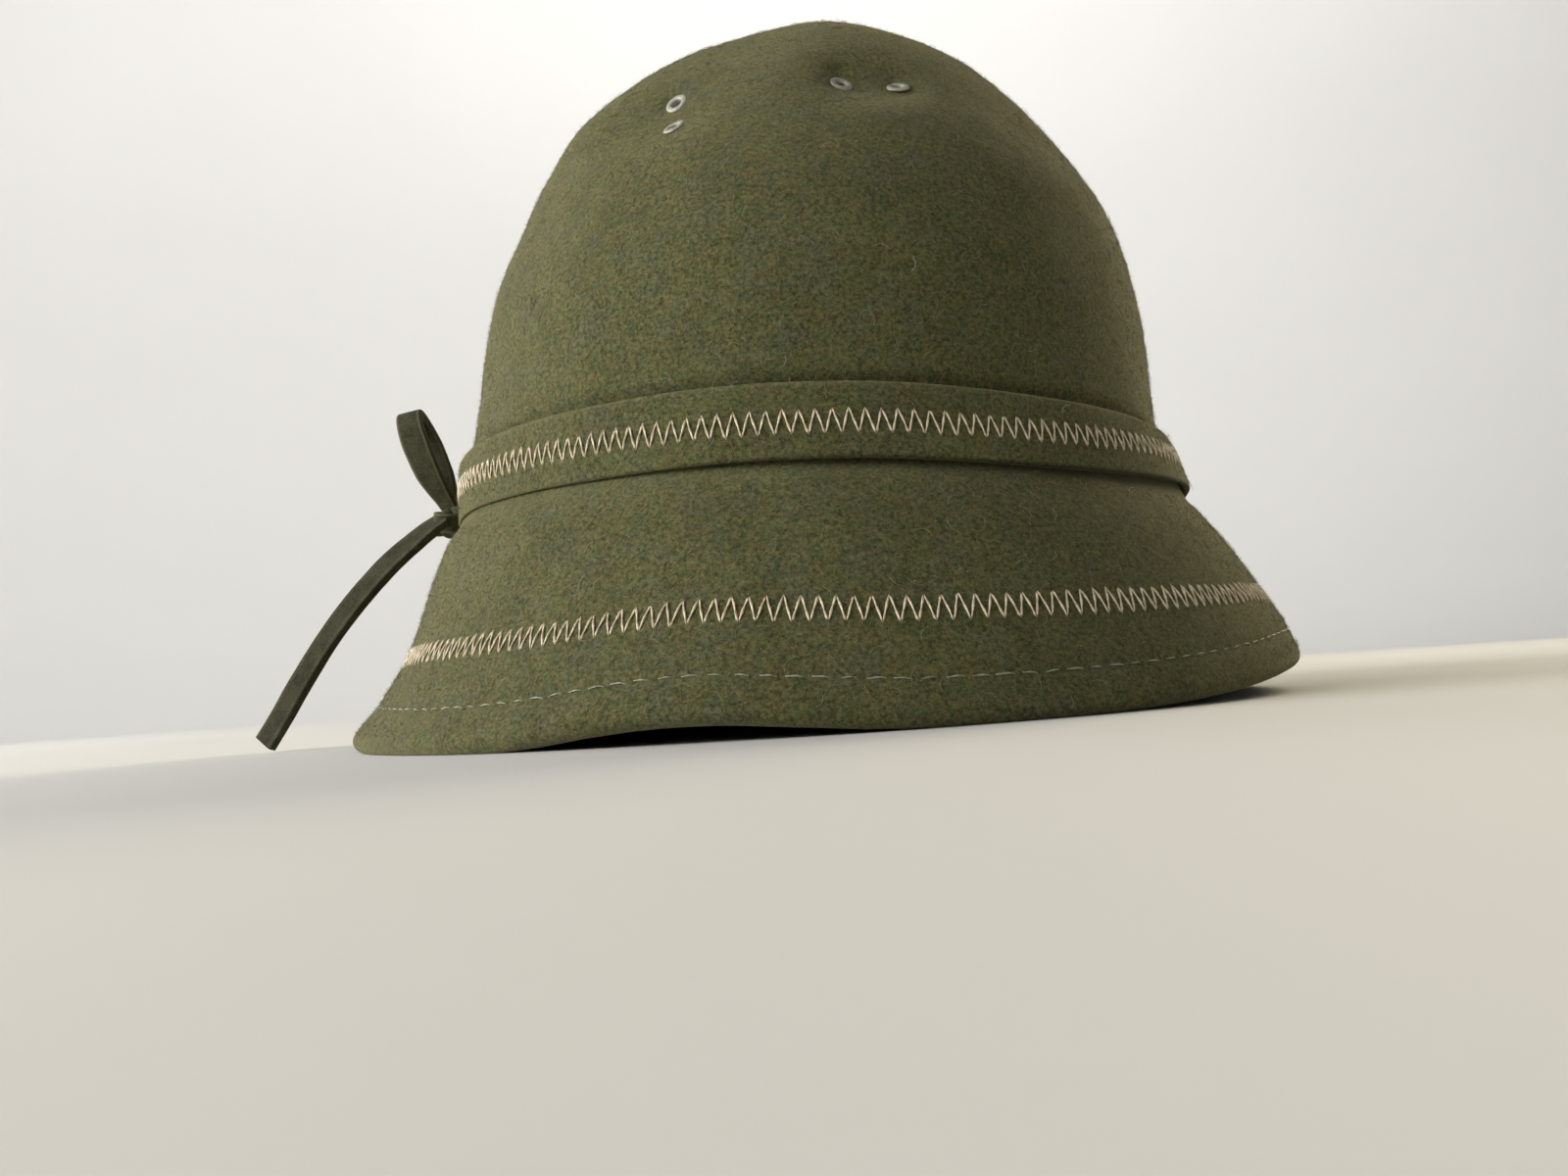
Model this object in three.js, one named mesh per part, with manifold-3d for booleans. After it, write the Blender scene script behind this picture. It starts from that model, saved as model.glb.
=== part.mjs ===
// Wool felt bucket hat, in millimetres with +Z up and the wearer facing -Y.
// One pressed felt shell with a turned-up hem carries a felt band, a half bow and four eyelets.

import * as THREE from 'three';
import { mergeVertices } from 'three/addons/utils/BufferGeometryUtils.js';
import loadManifold from 'manifold-3d';

// Driving sizes
const FELT = 2.4;
const CLEARANCE = 0.3;
const FACETS_AROUND = 60;
const RINGS_PER_ROW = 2;
const FOLD_STEPS = 6;
const BAND = { width: 14.4, felt: 2.4, flare: 13, topRow: 8, seamAzimuth: -90, seam: 0.6 };
const STRIP = { width: 6.6, felt: 2, corner: 0.5 };
const KNOT = { out: 8, up: 9, along: 11, below: 1.5, squareness: 0.65, facets: 14, rings: 10 };
const LOOP = { length: 24.6, bulge: 4, leanOut: 21, turn: -10, steps: 24 };
const TAIL_STEPS = 16;
const EYELET = { hole: 2.6, barrel: 3.5, flange: 5.4, back: 4.8, rim: 0.6, sink: 0.25, sides: 12 };

// Sections of the shell from the top of the crown down to the rim. Each is an oval at a height, with half
// sizes across and front to back, a shift to the right and to the back, and a slope in degrees across
// and front to back. Ripple is the share of the brim's waves that the section takes.
const SECTIONS = [
  { height: 167.5, halfWidth: 0, halfDepth: 0, right: 8.5, back: 4, lean: 0, nod: 0, ripple: 0 },
  { height: 165, halfWidth: 26.5, halfDepth: 28, right: 7.5, back: 4, lean: -0.5, nod: -0.3, ripple: 0 },
  { height: 158, halfWidth: 45, halfDepth: 48, right: 6.5, back: 3.5, lean: -1, nod: -0.6, ripple: 0 },
  { height: 146, halfWidth: 58, halfDepth: 62.5, right: 4.5, back: 3, lean: -1.4, nod: -0.9, ripple: 0 },
  { height: 130, halfWidth: 68.5, halfDepth: 74.5, right: 5, back: 2, lean: -1.7, nod: -1.2, ripple: 0 },
  { height: 112, halfWidth: 77, halfDepth: 84.5, right: 5, back: 1, lean: -2, nod: -1.4, ripple: 0 },
  { height: 92, halfWidth: 82, halfDepth: 91, right: 3.5, back: 0, lean: -2.2, nod: -1.6, ripple: 0 },
  { height: 74, halfWidth: 84, halfDepth: 94, right: 2.3, back: 0, lean: -2.4, nod: -1.6, ripple: 0 },
  { height: 60.5, halfWidth: 85.3, halfDepth: 95, right: 1.9, back: 0, lean: -2.5, nod: -1.6, ripple: 0 },
  { height: 46, halfWidth: 87.4, halfDepth: 97, right: 1.5, back: 0, lean: -2.5, nod: -1.6, ripple: 0 },
  { height: 41, halfWidth: 93, halfDepth: 102.7, right: 2.2, back: 0, lean: -2, nod: -1.4, ripple: 0.05 },
  { height: 34, halfWidth: 97.8, halfDepth: 107.5, right: 3.2, back: 0, lean: -1.4, nod: -1, ripple: 0.2 },
  { height: 20, halfWidth: 103, halfDepth: 113.3, right: 3.4, back: 0, lean: -0.5, nod: -0.5, ripple: 0.55 },
  { height: 10, halfWidth: 108.2, halfDepth: 118.5, right: 2.6, back: 0, lean: -0.2, nod: -0.2, ripple: 0.9 },
  { height: 3, halfWidth: 112.3, halfDepth: 122.5, right: 0.5, back: 0, lean: 0, nod: 0, ripple: 1 },
];
const HEM_TOP_ROW = 12.5;

// Waves that lift the rim off the table: azimuth from the front in degrees, height and half breadth
const BRIM_WAVES = [
  { azimuth: -75, lift: 0.9, breadth: 20 },
  { azimuth: -13, lift: 3.5, breadth: 15 },
  { azimuth: 70, lift: 5.2, breadth: 26 },
  { azimuth: 180, lift: 1, breadth: 22 },
];

// Dents pressed into the crown, and low swellings where the depth is negative
const DENTS = [
  { azimuth: 12.5, height: 135, radius: 11, depth: 3 },
  { azimuth: -26, height: 132, radius: 11, depth: 2.2 },
  { azimuth: -13, height: 149, radius: 13, depth: 1.2 },
  { azimuth: -48, height: 135, radius: 12, depth: -1.6 },
  { azimuth: -51, height: 117, radius: 10, depth: 0.8 },
  { azimuth: -58, height: 103, radius: 13, depth: -1.6 },
  { azimuth: 45, height: 129, radius: 14, depth: 1.3 },
];

// Ventilation eyelets by azimuth and height on the crown
const EYELETS = [
  { name: 'eyelet_side_upper', azimuth: -24.6, height: 133.1 },
  { name: 'eyelet_side_lower', azimuth: -23.5, height: 126 },
  { name: 'eyelet_front_left', azimuth: 7.7, height: 132.4 },
  { name: 'eyelet_front_right', azimuth: 17.6, height: 131.9 },
];

// The bow's free end, measured from the middle of the knot: out from the hat, up, and its twist in degrees
const TAIL_PATH = [
  { out: 5.4, up: 0.5, twist: -30 },
  { out: 10.3, up: -3.8, twist: -44 },
  { out: 18.5, up: -10.5, twist: -50 },
  { out: 27.5, up: -20.5, twist: -50 },
  { out: 35.3, up: -30.5, twist: -50 },
  { out: 42, up: -40, twist: -50 },
  { out: 47.8, up: -48.3, twist: -50 },
  { out: 52.2, up: -53.9, twist: -50 },
];

// The bow's loop, one strand from the knot to its tip, as shares of the loop's length and bulge
const LOOP_STRAND = [
  { length: 0, bulge: 0.32 },
  { length: 0.3, bulge: 0.8 },
  { length: 0.65, bulge: 1 },
  { length: 0.9, bulge: 0.72 },
  { length: 1, bulge: 0 },
];

const UP = new THREE.Vector3(0, 0, 1);
const LAST_ROW = SECTIONS.length - 1;
const HALVINGS = 30;
const SLOPE_TURN = 0.2;
const SLOPE_STEP = 0.01;
const WELD = 1e-4;
const radians = THREE.MathUtils.degToRad;

// The shell's surface

// Value between b and c on the smooth curve through four table values in turn
function smooth(a, b, c, d, t) {
  const slope = c - a;
  const bend = 2 * a - 5 * b + 4 * c - d;
  const twist = 3 * (b - c) + d - a;
  return b + 0.5 * t * (slope + t * (bend + t * twist));
}

// Table row by number: mirrored over the top of the crown and run on in a straight line past the rim
function tableRow(index) {
  if (index < 0) {
    const row = SECTIONS[-index];
    return { ...row, halfWidth: -row.halfWidth, halfDepth: -row.halfDepth };
  }
  if (index > LAST_ROW) {
    const rim = SECTIONS[LAST_ROW];
    const above = SECTIONS[LAST_ROW - 1];
    return Object.fromEntries(Object.keys(rim).map((key) => [key, 2 * rim[key] - above[key]]));
  }
  return SECTIONS[index];
}

function sectionAt(row) {
  const first = Math.min(Math.floor(row), LAST_ROW - 1);
  const [a, b, c, d] = [-1, 0, 1, 2].map((step) => tableRow(first + step));
  return Object.fromEntries(
    Object.keys(b).map((key) => [key, smooth(a[key], b[key], c[key], d[key], row - first)]),
  );
}

function brimLift(azimuth) {
  return BRIM_WAVES.reduce((sum, wave) => {
    const turn = THREE.MathUtils.euclideanModulo(azimuth - wave.azimuth + 180, 360) - 180;
    return sum + wave.lift * Math.exp(-((turn / wave.breadth) ** 2));
  }, 0);
}

// Point of the smooth shell, before any dent
function mouldedPoint(azimuth, row) {
  const section = sectionAt(row);
  const x = section.halfWidth * Math.sin(radians(azimuth));
  const y = -section.halfDepth * Math.cos(radians(azimuth));
  const slope = x * Math.tan(radians(section.lean)) + y * Math.tan(radians(section.nod));
  const z = section.height + slope + section.ripple * brimLift(azimuth);
  return new THREE.Vector3(section.right + x, section.back + y, z);
}

// Outward normal and downward direction of a surface given by azimuth and row
function directionsOn(surface, azimuth, row) {
  if (row === 0) {
    return { normal: UP.clone(), down: new THREE.Vector3(0, -1, 0) };
  }
  const around = surface(azimuth + SLOPE_TURN, row).sub(surface(azimuth - SLOPE_TURN, row));
  const down = surface(azimuth, row + SLOPE_STEP).sub(surface(azimuth, row - SLOPE_STEP)).normalize();
  return { normal: down.clone().cross(around).normalize(), down };
}

// Row of a surface at a height on one azimuth, by halving from the crown's top down to the band
function rowAtHeight(surface, azimuth, height) {
  let [above, below] = [0, BAND.topRow];
  for (let pass = 0; pass < HALVINGS; pass += 1) {
    const middle = (above + below) / 2;
    if (surface(azimuth, middle).z > height) {
      above = middle;
    } else {
      below = middle;
    }
  }
  return below;
}

const pressedDents = DENTS.map((dent) => {
  const row = rowAtHeight(mouldedPoint, dent.azimuth, dent.height);
  const centre = mouldedPoint(dent.azimuth, row);
  return { ...dent, centre, normal: directionsOn(mouldedPoint, dent.azimuth, row).normal };
});

// Point of the finished outer surface
function outerPoint(azimuth, row) {
  const point = mouldedPoint(azimuth, row);
  const shift = new THREE.Vector3();
  for (const dent of pressedDents) {
    const reach = point.distanceTo(dent.centre) / dent.radius;
    shift.addScaledVector(dent.normal, -dent.depth * Math.exp(-(reach ** 2)));
  }
  return point.add(shift);
}

// Meshing

function geometryFrom(points, triangles) {
  const geometry = new THREE.BufferGeometry();
  geometry.setAttribute('position', new THREE.Float32BufferAttribute(points.flatMap((p) => p.toArray()), 3));
  geometry.setIndex(triangles);
  return geometry;
}

// Closed skin over a stack of rings with a point at each end
function skinBetweenPoles(firstPole, rings, lastPole) {
  const count = rings[0].length;
  const points = [firstPole, ...rings.flat(), lastPole];
  const at = (ring, i) => 1 + ring * count + (i % count);
  const triangles = [];
  for (let i = 0; i < count; i += 1) {
    triangles.push(0, at(0, i), at(0, i + 1));
    triangles.push(points.length - 1, at(rings.length - 1, i + 1), at(rings.length - 1, i));
    for (let ring = 0; ring < rings.length - 1; ring += 1) {
      triangles.push(at(ring, i), at(ring + 1, i), at(ring + 1, i + 1));
      triangles.push(at(ring, i), at(ring + 1, i + 1), at(ring, i + 1));
    }
  }
  return geometryFrom(points, triangles);
}

// Flat strip with chamfered corners along frames that give its middle, its width and its thickness
function sweptStrip(frames, width, thickness, corner) {
  const [w, t] = [width / 2, thickness / 2];
  const outline = [
    [w, -t + corner], [w, t - corner], [w - corner, t], [-w + corner, t],
    [-w, t - corner], [-w, -t + corner], [-w + corner, -t], [w - corner, -t],
  ];
  const count = outline.length;
  const points = frames.flatMap(({ middle, across, through }) =>
    outline.map(([a, b]) => middle.clone().addScaledVector(across, a).addScaledVector(through, b)));
  const triangles = [];
  for (let f = 0; f < frames.length - 1; f += 1) {
    for (let i = 0; i < count; i += 1) {
      const next = (i + 1) % count;
      const [a, b, c, d] = [f * count + i, f * count + next, (f + 1) * count + next, (f + 1) * count + i];
      triangles.push(a, b, c, a, c, d);
    }
  }
  const end = (frames.length - 1) * count;
  for (let i = 1; i < count - 1; i += 1) {
    triangles.push(0, i + 1, i);
    triangles.push(end, end + i, end + i + 1);
  }
  return geometryFrom(points, triangles);
}

function latheRing(profile, sides) {
  const outline = profile.map(([radius, height]) => new THREE.Vector2(radius, height));
  const geometry = new THREE.LatheGeometry(outline, sides);
  geometry.deleteAttribute('normal');
  geometry.deleteAttribute('uv');
  return mergeVertices(geometry, WELD);
}

// Cutting

const wasm = await loadManifold();
wasm.setup();

function solidFrom(geometry) {
  const vertProperties = new Float32Array(geometry.attributes.position.array);
  const triVerts = new Uint32Array(geometry.index.array);
  return new wasm.Manifold(new wasm.Mesh({ numProp: 3, vertProperties, triVerts }));
}

function cutAway(geometry, tools) {
  const rest = tools.reduce((solid, tool) => solid.subtract(solidFrom(tool)), solidFrom(geometry));
  const mesh = rest.getMesh();
  const cut = new THREE.BufferGeometry();
  cut.setAttribute('position', new THREE.BufferAttribute(mesh.vertProperties, 3));
  cut.setIndex(new THREE.BufferAttribute(mesh.triVerts, 1));
  return cut;
}

// Felt shell: crown and brim in one piece, the rim folded inward and up into a doubled hem

const AZIMUTHS = Array.from({ length: FACETS_AROUND }, (_, i) => -180 + (i * 360) / FACETS_AROUND);
const onTable = (point) => point.setZ(Math.max(point.z, 0));

// Ring of the shell at a depth below the outer surface
function shellRing(row, depth) {
  return AZIMUTHS.map((azimuth) => {
    const { normal } = directionsOn(outerPoint, azimuth, row);
    return onTable(outerPoint(azimuth, row).addScaledVector(normal, -depth));
  });
}

// Ring of the fold at the rim, which turns a half circle under the edge
function foldRing(step) {
  const angle = (Math.PI * step) / FOLD_STEPS;
  return AZIMUTHS.map((azimuth) => {
    const { normal, down } = directionsOn(outerPoint, azimuth, LAST_ROW);
    const middle = outerPoint(azimuth, LAST_ROW).addScaledVector(normal, -FELT);
    middle.addScaledVector(normal, FELT * Math.cos(angle));
    return onTable(middle.addScaledVector(down, FELT * Math.sin(angle)));
  });
}

function shellGeometry() {
  const rows = Array.from({ length: LAST_ROW * RINGS_PER_ROW }, (_, i) => (i + 1) / RINGS_PER_ROW);
  const outer = rows.map((row) => shellRing(row, 0));
  const fold = Array.from({ length: FOLD_STEPS - 1 }, (_, i) => foldRing(i + 1));
  const upward = rows.toReversed();
  const hem = upward.filter((row) => row >= HEM_TOP_ROW).map((row) => shellRing(row, 2 * FELT));
  const inner = upward.filter((row) => row <= HEM_TOP_ROW).map((row) => shellRing(row, FELT));
  const top = outerPoint(0, 0);
  return skinBetweenPoles(top, [...outer, ...fold, ...hem, ...inner], top.clone().addScaledVector(UP, -FELT));
}

// Eyelets: a flange outside, a barrel through the felt and a clinched flange inside

// Heights along an eyelet's axis, measured from the felt's outer surface
const EYELET_LEVELS = {
  seat: -EYELET.sink,
  backSeat: -FELT + EYELET.sink,
  front: -EYELET.sink + CLEARANCE,
  back: -FELT + EYELET.sink - CLEARANCE,
};

function eyeletGeometry() {
  const { front, back } = EYELET_LEVELS;
  const diameters = [EYELET.hole, EYELET.barrel, EYELET.flange, EYELET.back];
  const [hole, barrel, flange, clinch] = diameters.map((diameter) => diameter / 2);
  const soften = EYELET.rim / 2;
  const profile = [
    [hole, back], [clinch - soften, back - EYELET.rim], [clinch, back - soften], [clinch, back],
    [barrel, back], [barrel, front], [flange, front], [flange - soften / 2, front + soften],
    [flange - EYELET.rim, front + EYELET.rim], [hole + soften, front + EYELET.rim], [hole, front],
  ];
  return latheRing([...profile, profile[0]], EYELET.sides);
}

// Space that an eyelet takes up in the felt, with its clearance
function eyeletSeat() {
  const { seat, backSeat } = EYELET_LEVELS;
  const diameters = [EYELET.barrel, EYELET.flange, EYELET.back];
  const [barrel, flange, clinch] = diameters.map((diameter) => diameter / 2 + CLEARANCE);
  const reach = 2 * FELT;
  return latheRing([
    [0, backSeat - reach], [clinch, backSeat - reach], [clinch, backSeat], [barrel, backSeat],
    [barrel, seat], [flange, seat], [flange, seat + reach], [0, seat + reach],
  ], EYELET.sides);
}

function eyeletPlace({ azimuth, height }) {
  const row = rowAtHeight(outerPoint, azimuth, height);
  const { normal } = directionsOn(outerPoint, azimuth, row);
  const turn = new THREE.Quaternion().setFromUnitVectors(THREE.Object3D.DEFAULT_UP, normal);
  return { position: outerPoint(azimuth, row), turn };
}

// Band: a strip round the foot of the crown, its lower edge standing off the brim

function bandFrame(azimuth) {
  const { normal } = directionsOn(outerPoint, azimuth, BAND.topRow);
  const outward = new THREE.Vector3(normal.x, normal.y, 0).normalize();
  const [sin, cos] = [Math.sin(radians(BAND.flare)), Math.cos(radians(BAND.flare))];
  const across = UP.clone().multiplyScalar(cos).addScaledVector(outward, -sin);
  const through = outward.clone().multiplyScalar(cos).addScaledVector(UP, sin);
  const middle = outerPoint(azimuth, BAND.topRow)
    .addScaledVector(across, -BAND.width / 2)
    .addScaledVector(through, CLEARANCE + BAND.felt / 2);
  return { middle, across, through, outward };
}

function bandGeometry() {
  const halfSeam = THREE.MathUtils.radToDeg(BAND.seam / 2 / SECTIONS[BAND.topRow].halfDepth);
  const first = BAND.seamAzimuth + halfSeam;
  const last = BAND.seamAzimuth + 360 - halfSeam;
  const frames = Array.from({ length: FACETS_AROUND + 1 }, (_, i) => {
    const azimuth = BAND.seamAzimuth + (i * 360) / FACETS_AROUND;
    return bandFrame(THREE.MathUtils.clamp(azimuth, first, last));
  });
  return sweptStrip(frames, BAND.width, BAND.felt, STRIP.corner);
}

// Half bow: a knot over the band's seam, one loop standing up and one tail arching down

const seam = bandFrame(BAND.seamAzimuth);
const OUT = seam.outward;
const ALONG = OUT.clone().cross(UP);
const knotStandOff = CLEARANCE + (BAND.felt + KNOT.out + KNOT.up * Math.sin(radians(BAND.flare))) / 2;
const knotMiddle = seam.middle.clone()
  .addScaledVector(seam.across, -KNOT.below)
  .addScaledVector(OUT, knotStandOff);

function knotGeometry() {
  const sphere = new THREE.SphereGeometry(1, KNOT.facets, KNOT.rings);
  sphere.deleteAttribute('normal');
  sphere.deleteAttribute('uv');
  const knot = mergeVertices(sphere, WELD);
  const position = knot.attributes.position;
  const rounded = (value) => Math.sign(value) * Math.abs(value) ** KNOT.squareness;
  for (let i = 0; i < position.count; i += 1) {
    const point = knotMiddle.clone()
      .addScaledVector(OUT, (rounded(position.getX(i)) * KNOT.out) / 2)
      .addScaledVector(UP, (rounded(position.getY(i)) * KNOT.up) / 2)
      .addScaledVector(ALONG, (rounded(position.getZ(i)) * KNOT.along) / 2);
    position.setXYZ(i, point.x, point.y, point.z);
  }
  return knot;
}

function loopGeometry() {
  const lean = radians(LOOP.leanOut);
  const axis = UP.clone().multiplyScalar(Math.cos(lean)).addScaledVector(OUT, Math.sin(lean));
  const aside = ALONG.clone().applyAxisAngle(axis, radians(LOOP.turn));
  const across = axis.clone().cross(aside);
  const rise = KNOT.up / 2 + CLEARANCE + (STRIP.width / 2) * Math.sin(lean);
  const root = knotMiddle.clone().addScaledVector(UP, rise);
  const back = LOOP_STRAND.slice(0, -1).toReversed().map(({ length, bulge }) => ({ length, bulge: -bulge }));
  const path = new THREE.CatmullRomCurve3([...LOOP_STRAND, ...back].map(({ length, bulge }) => root.clone()
    .addScaledVector(axis, length * LOOP.length)
    .addScaledVector(aside, bulge * LOOP.bulge)));
  const frames = Array.from({ length: LOOP.steps + 1 }, (_, i) => {
    const tangent = path.getTangentAt(i / LOOP.steps);
    return { middle: path.getPointAt(i / LOOP.steps), across, through: tangent.cross(across).normalize() };
  });
  return sweptStrip(frames, STRIP.width, STRIP.felt, STRIP.corner);
}

function tailGeometry() {
  const path = new THREE.CatmullRomCurve3(TAIL_PATH.map(({ out, up }) => knotMiddle.clone()
    .addScaledVector(OUT, out)
    .addScaledVector(UP, up)));
  const frames = Array.from({ length: TAIL_STEPS + 1 }, (_, i) => {
    const t = i / TAIL_STEPS;
    const tangent = path.getTangent(t);
    const row = Math.min(Math.floor(t * (TAIL_PATH.length - 1)), TAIL_PATH.length - 2);
    const part = t * (TAIL_PATH.length - 1) - row;
    const twist = THREE.MathUtils.lerp(TAIL_PATH[row].twist, TAIL_PATH[row + 1].twist, part);
    const across = ALONG.clone().applyAxisAngle(tangent, radians(twist));
    return { middle: path.getPoint(t), across, through: tangent.clone().cross(across) };
  });
  return sweptStrip(frames, STRIP.width, STRIP.felt, STRIP.corner);
}

// Materials and assembly

const felt = new THREE.MeshStandardMaterial({ color: '#47482a', roughness: 0.95, metalness: 0 });
const bowFelt = new THREE.MeshStandardMaterial({ color: '#3a3a25', roughness: 0.9, metalness: 0 });
const eyeletMetal = new THREE.MeshStandardMaterial({ color: '#c8c6ba', roughness: 0.4, metalness: 0.8 });

function piece(name, geometry, material) {
  const mesh = new THREE.Mesh(geometry, material);
  mesh.name = name;
  return mesh;
}

const hat = new THREE.Group();
const seats = [];
for (const eyelet of EYELETS) {
  const { position, turn } = eyeletPlace(eyelet);
  const ring = piece(eyelet.name, eyeletGeometry(), eyeletMetal);
  ring.position.copy(position);
  ring.quaternion.copy(turn);
  hat.add(ring);
  seats.push(eyeletSeat().applyQuaternion(turn).translate(...position.toArray()));
}
hat.add(piece('crown_and_brim', cutAway(shellGeometry(), seats), felt));
hat.add(piece('hat_band', bandGeometry(), felt));
hat.add(piece('bow_knot', knotGeometry(), bowFelt));
hat.add(piece('bow_loop', loopGeometry(), bowFelt));
hat.add(piece('bow_tail', tailGeometry(), bowFelt));

// The origin is the middle of the hat's footprint, on the table
const extent = new THREE.Box3().setFromObject(hat);
const footprint = extent.getCenter(new THREE.Vector3()).setZ(extent.min.z);
hat.position.sub(footprint);

export default hat;
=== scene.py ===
import math
from collections import namedtuple

import bmesh
import bpy
import numpy as np
from mathutils import Matrix, Vector, noise


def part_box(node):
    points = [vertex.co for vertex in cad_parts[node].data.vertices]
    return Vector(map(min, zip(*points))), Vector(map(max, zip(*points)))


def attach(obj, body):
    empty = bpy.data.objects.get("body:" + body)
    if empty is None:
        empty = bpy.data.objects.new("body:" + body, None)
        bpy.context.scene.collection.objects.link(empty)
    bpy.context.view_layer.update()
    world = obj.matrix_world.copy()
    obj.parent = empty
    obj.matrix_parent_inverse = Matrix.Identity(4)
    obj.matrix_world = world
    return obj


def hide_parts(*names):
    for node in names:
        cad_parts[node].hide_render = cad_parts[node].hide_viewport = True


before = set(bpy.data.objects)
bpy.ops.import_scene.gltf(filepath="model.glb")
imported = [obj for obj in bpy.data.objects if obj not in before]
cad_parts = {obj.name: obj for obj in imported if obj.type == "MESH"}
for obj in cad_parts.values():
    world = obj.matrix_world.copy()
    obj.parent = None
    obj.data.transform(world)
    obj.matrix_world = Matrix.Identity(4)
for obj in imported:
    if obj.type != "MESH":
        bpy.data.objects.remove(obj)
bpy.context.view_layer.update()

# Crown and brim
# One piece of wool felt, steamed and pressed over a round block, with no seam anywhere. The brim's raw
# edge is folded under and sewn down, so the rim is a soft double fold that the hat rests on.

# Sizes are in millimetres. A row is a place down the table of ovals, on one of them or between two.
MM = 0.001
FELT = 2.4
TOP_ROW = 0.06
BAND_TOP_ROW = 8
BAND_BITE = 1.4
BAND_BITE_ROW = 7.95
BAND_BITE_BREADTH = 0.1
HEM_TOP_ROW = 12.5
HEM_STITCH_ROW = 13.23
HEM_STITCH_SWAY = 0.08
HEM_STITCH_PULL = 0.4
HEM_STITCH_BREADTH = 0.11
AROUND = 300
RING_SPACING = 1.15
INNER_SPACING = 3.2
FOLD_STEPS = 10
MEASURING_STEPS = 600
SWELL, SWELL_SIZE = 0.2, 11
GRAIN, GRAIN_SIZE = 0.08, 2.8

# Ovals from the top of the crown to the rim, in millimetres and degrees:
# height, half width, half depth, shift right, shift back, lean, nod, share of the brim's waves
SECTIONS = np.array([
    (169, 0, 0, 8.5, 4, 0, 0, 0),
    (165.6, 24, 28, 7.7, 4, -0.5, -0.3, 0),
    (157.8, 43.8, 48, 6.5, 3.5, -1, -0.6, 0),
    (146, 57.6, 62.5, 4.9, 3, -1.4, -0.9, 0),
    (130, 68.5, 74.5, 5, 2, -1.7, -1.2, 0),
    (112, 76.5, 84.5, 5.5, 1, -2, -1.4, 0),
    (92, 81.5, 91, 4, 0, -2.2, -1.6, 0),
    (74, 83.5, 94, 2.8, 0, -2.4, -1.6, 0),
    (60.5, 85.3, 95, 1.9, 0, -2.5, -1.6, 0),
    (47.5, 89, 97.4, 3.2, 0, -2.5, -1.6, 0),
    (41.6, 92.5, 101.9, 2.9, 0, -2, -1.4, 0.05),
    (34, 96.5, 106.5, 3.3, 0, -1.4, -1, 0.2),
    (20, 102.7, 113.1, 3.6, 0, -0.5, -0.5, 0.55),
    (10, 108.2, 118.5, 2.6, 0, -0.2, -0.2, 0.9),
    (3, 112.3, 122.5, 0.5, 0, 0, 0, 1),
])
LAST_ROW = len(SECTIONS) - 1
OVER_THE_TOP = SECTIONS[1] * (1, -1, -1, 1, 1, 1, 1, 1)
PAST_THE_RIM = 2 * SECTIONS[-1] - SECTIONS[-2]
STEERED_SECTIONS = np.vstack([OVER_THE_TOP, SECTIONS, PAST_THE_RIM])
CROWN_ROWS = np.linspace(0.05, BAND_TOP_ROW, 800)

Wave = namedtuple("Wave", "azimuth lift breadth")
BRIM_WAVES = (Wave(-75, 0.9, 20), Wave(-13, 3.5, 15), Wave(70, 5.2, 26), Wave(180, 1, 22))

# Places where handling has pressed the crown in or out; a flat one has a level floor, for an eyelet
Dent = namedtuple("Dent", "azimuth height radius depth flat")
DENTS = (
    Dent(12.5, 135, 11, 3, False),
    Dent(-26, 132, 11, 2.2, False),
    Dent(-13, 149, 13, 1.2, False),
    Dent(-48, 135, 12, -1.6, False),
    Dent(-51, 117, 10, 0.8, False),
    Dent(-58, 103, 13, -1.6, False),
    Dent(45, 129, 14, 1.3, False),
    Dent(7.7, 133.8, 4.2, 0.7, True),
    Dent(7.4, 138.4, 2.1, 1, False),
    Dent(18.5, 133.4, 4.2, 0.7, True),
    Dent(18.3, 137.6, 2, 0.8, False),
    Dent(-24.9, 134.8, 4, 0.45, True),
    Dent(-23.5, 126.7, 4, 0.4, True),
    Dent(8, 160, 12, -1.3, False),
)
DENT_STEEPNESS, FLAT_DENT_STEEPNESS = 2, 4


def unit(vectors):
    return vectors / np.linalg.norm(vectors, axis=-1, keepdims=True)


def falloff(distance, breadth):
    """1 in the middle, fading to nothing about two breadths away."""
    return np.exp(-((distance / breadth) ** 2))


def step_lengths(points):
    return np.linalg.norm(np.diff(points, axis=0), axis=1)


def smooth_curve(table, place):
    """Values on a smooth curve through a table's rows; the first and the last row only steer it."""
    first = np.clip(np.floor(place).astype(int), 0, len(table) - 4)
    t = (place - first)[..., None]
    a, b, c, d = (table[first + step] for step in range(4))
    return b + 0.5 * t * (c - a + t * (2 * a - 5 * b + 4 * c - d + t * (3 * (b - c) + d - a)))


def brim_lift(azimuth):
    turns = [(azimuth - wave.azimuth + 180) % 360 - 180 for wave in BRIM_WAVES]
    return sum(wave.lift * falloff(turn, wave.breadth) for wave, turn in zip(BRIM_WAVES, turns))


def moulded_point(azimuth, row):
    """The pressed felt before any dent, with azimuth 0 at the front and 90 at the wearer's left."""
    azimuth, row = np.broadcast_arrays(np.asarray(azimuth, float), np.asarray(row, float))
    sizes = np.moveaxis(smooth_curve(STEERED_SECTIONS, row), -1, 0)
    height, half_width, half_depth, right, back, lean, nod, ripple = sizes
    x = half_width * np.sin(np.radians(azimuth))
    y = -half_depth * np.cos(np.radians(azimuth))
    slope = x * np.tan(np.radians(lean)) + y * np.tan(np.radians(nod))
    return np.stack([right + x, back + y, height + slope + ripple * brim_lift(azimuth)], axis=-1)


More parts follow.
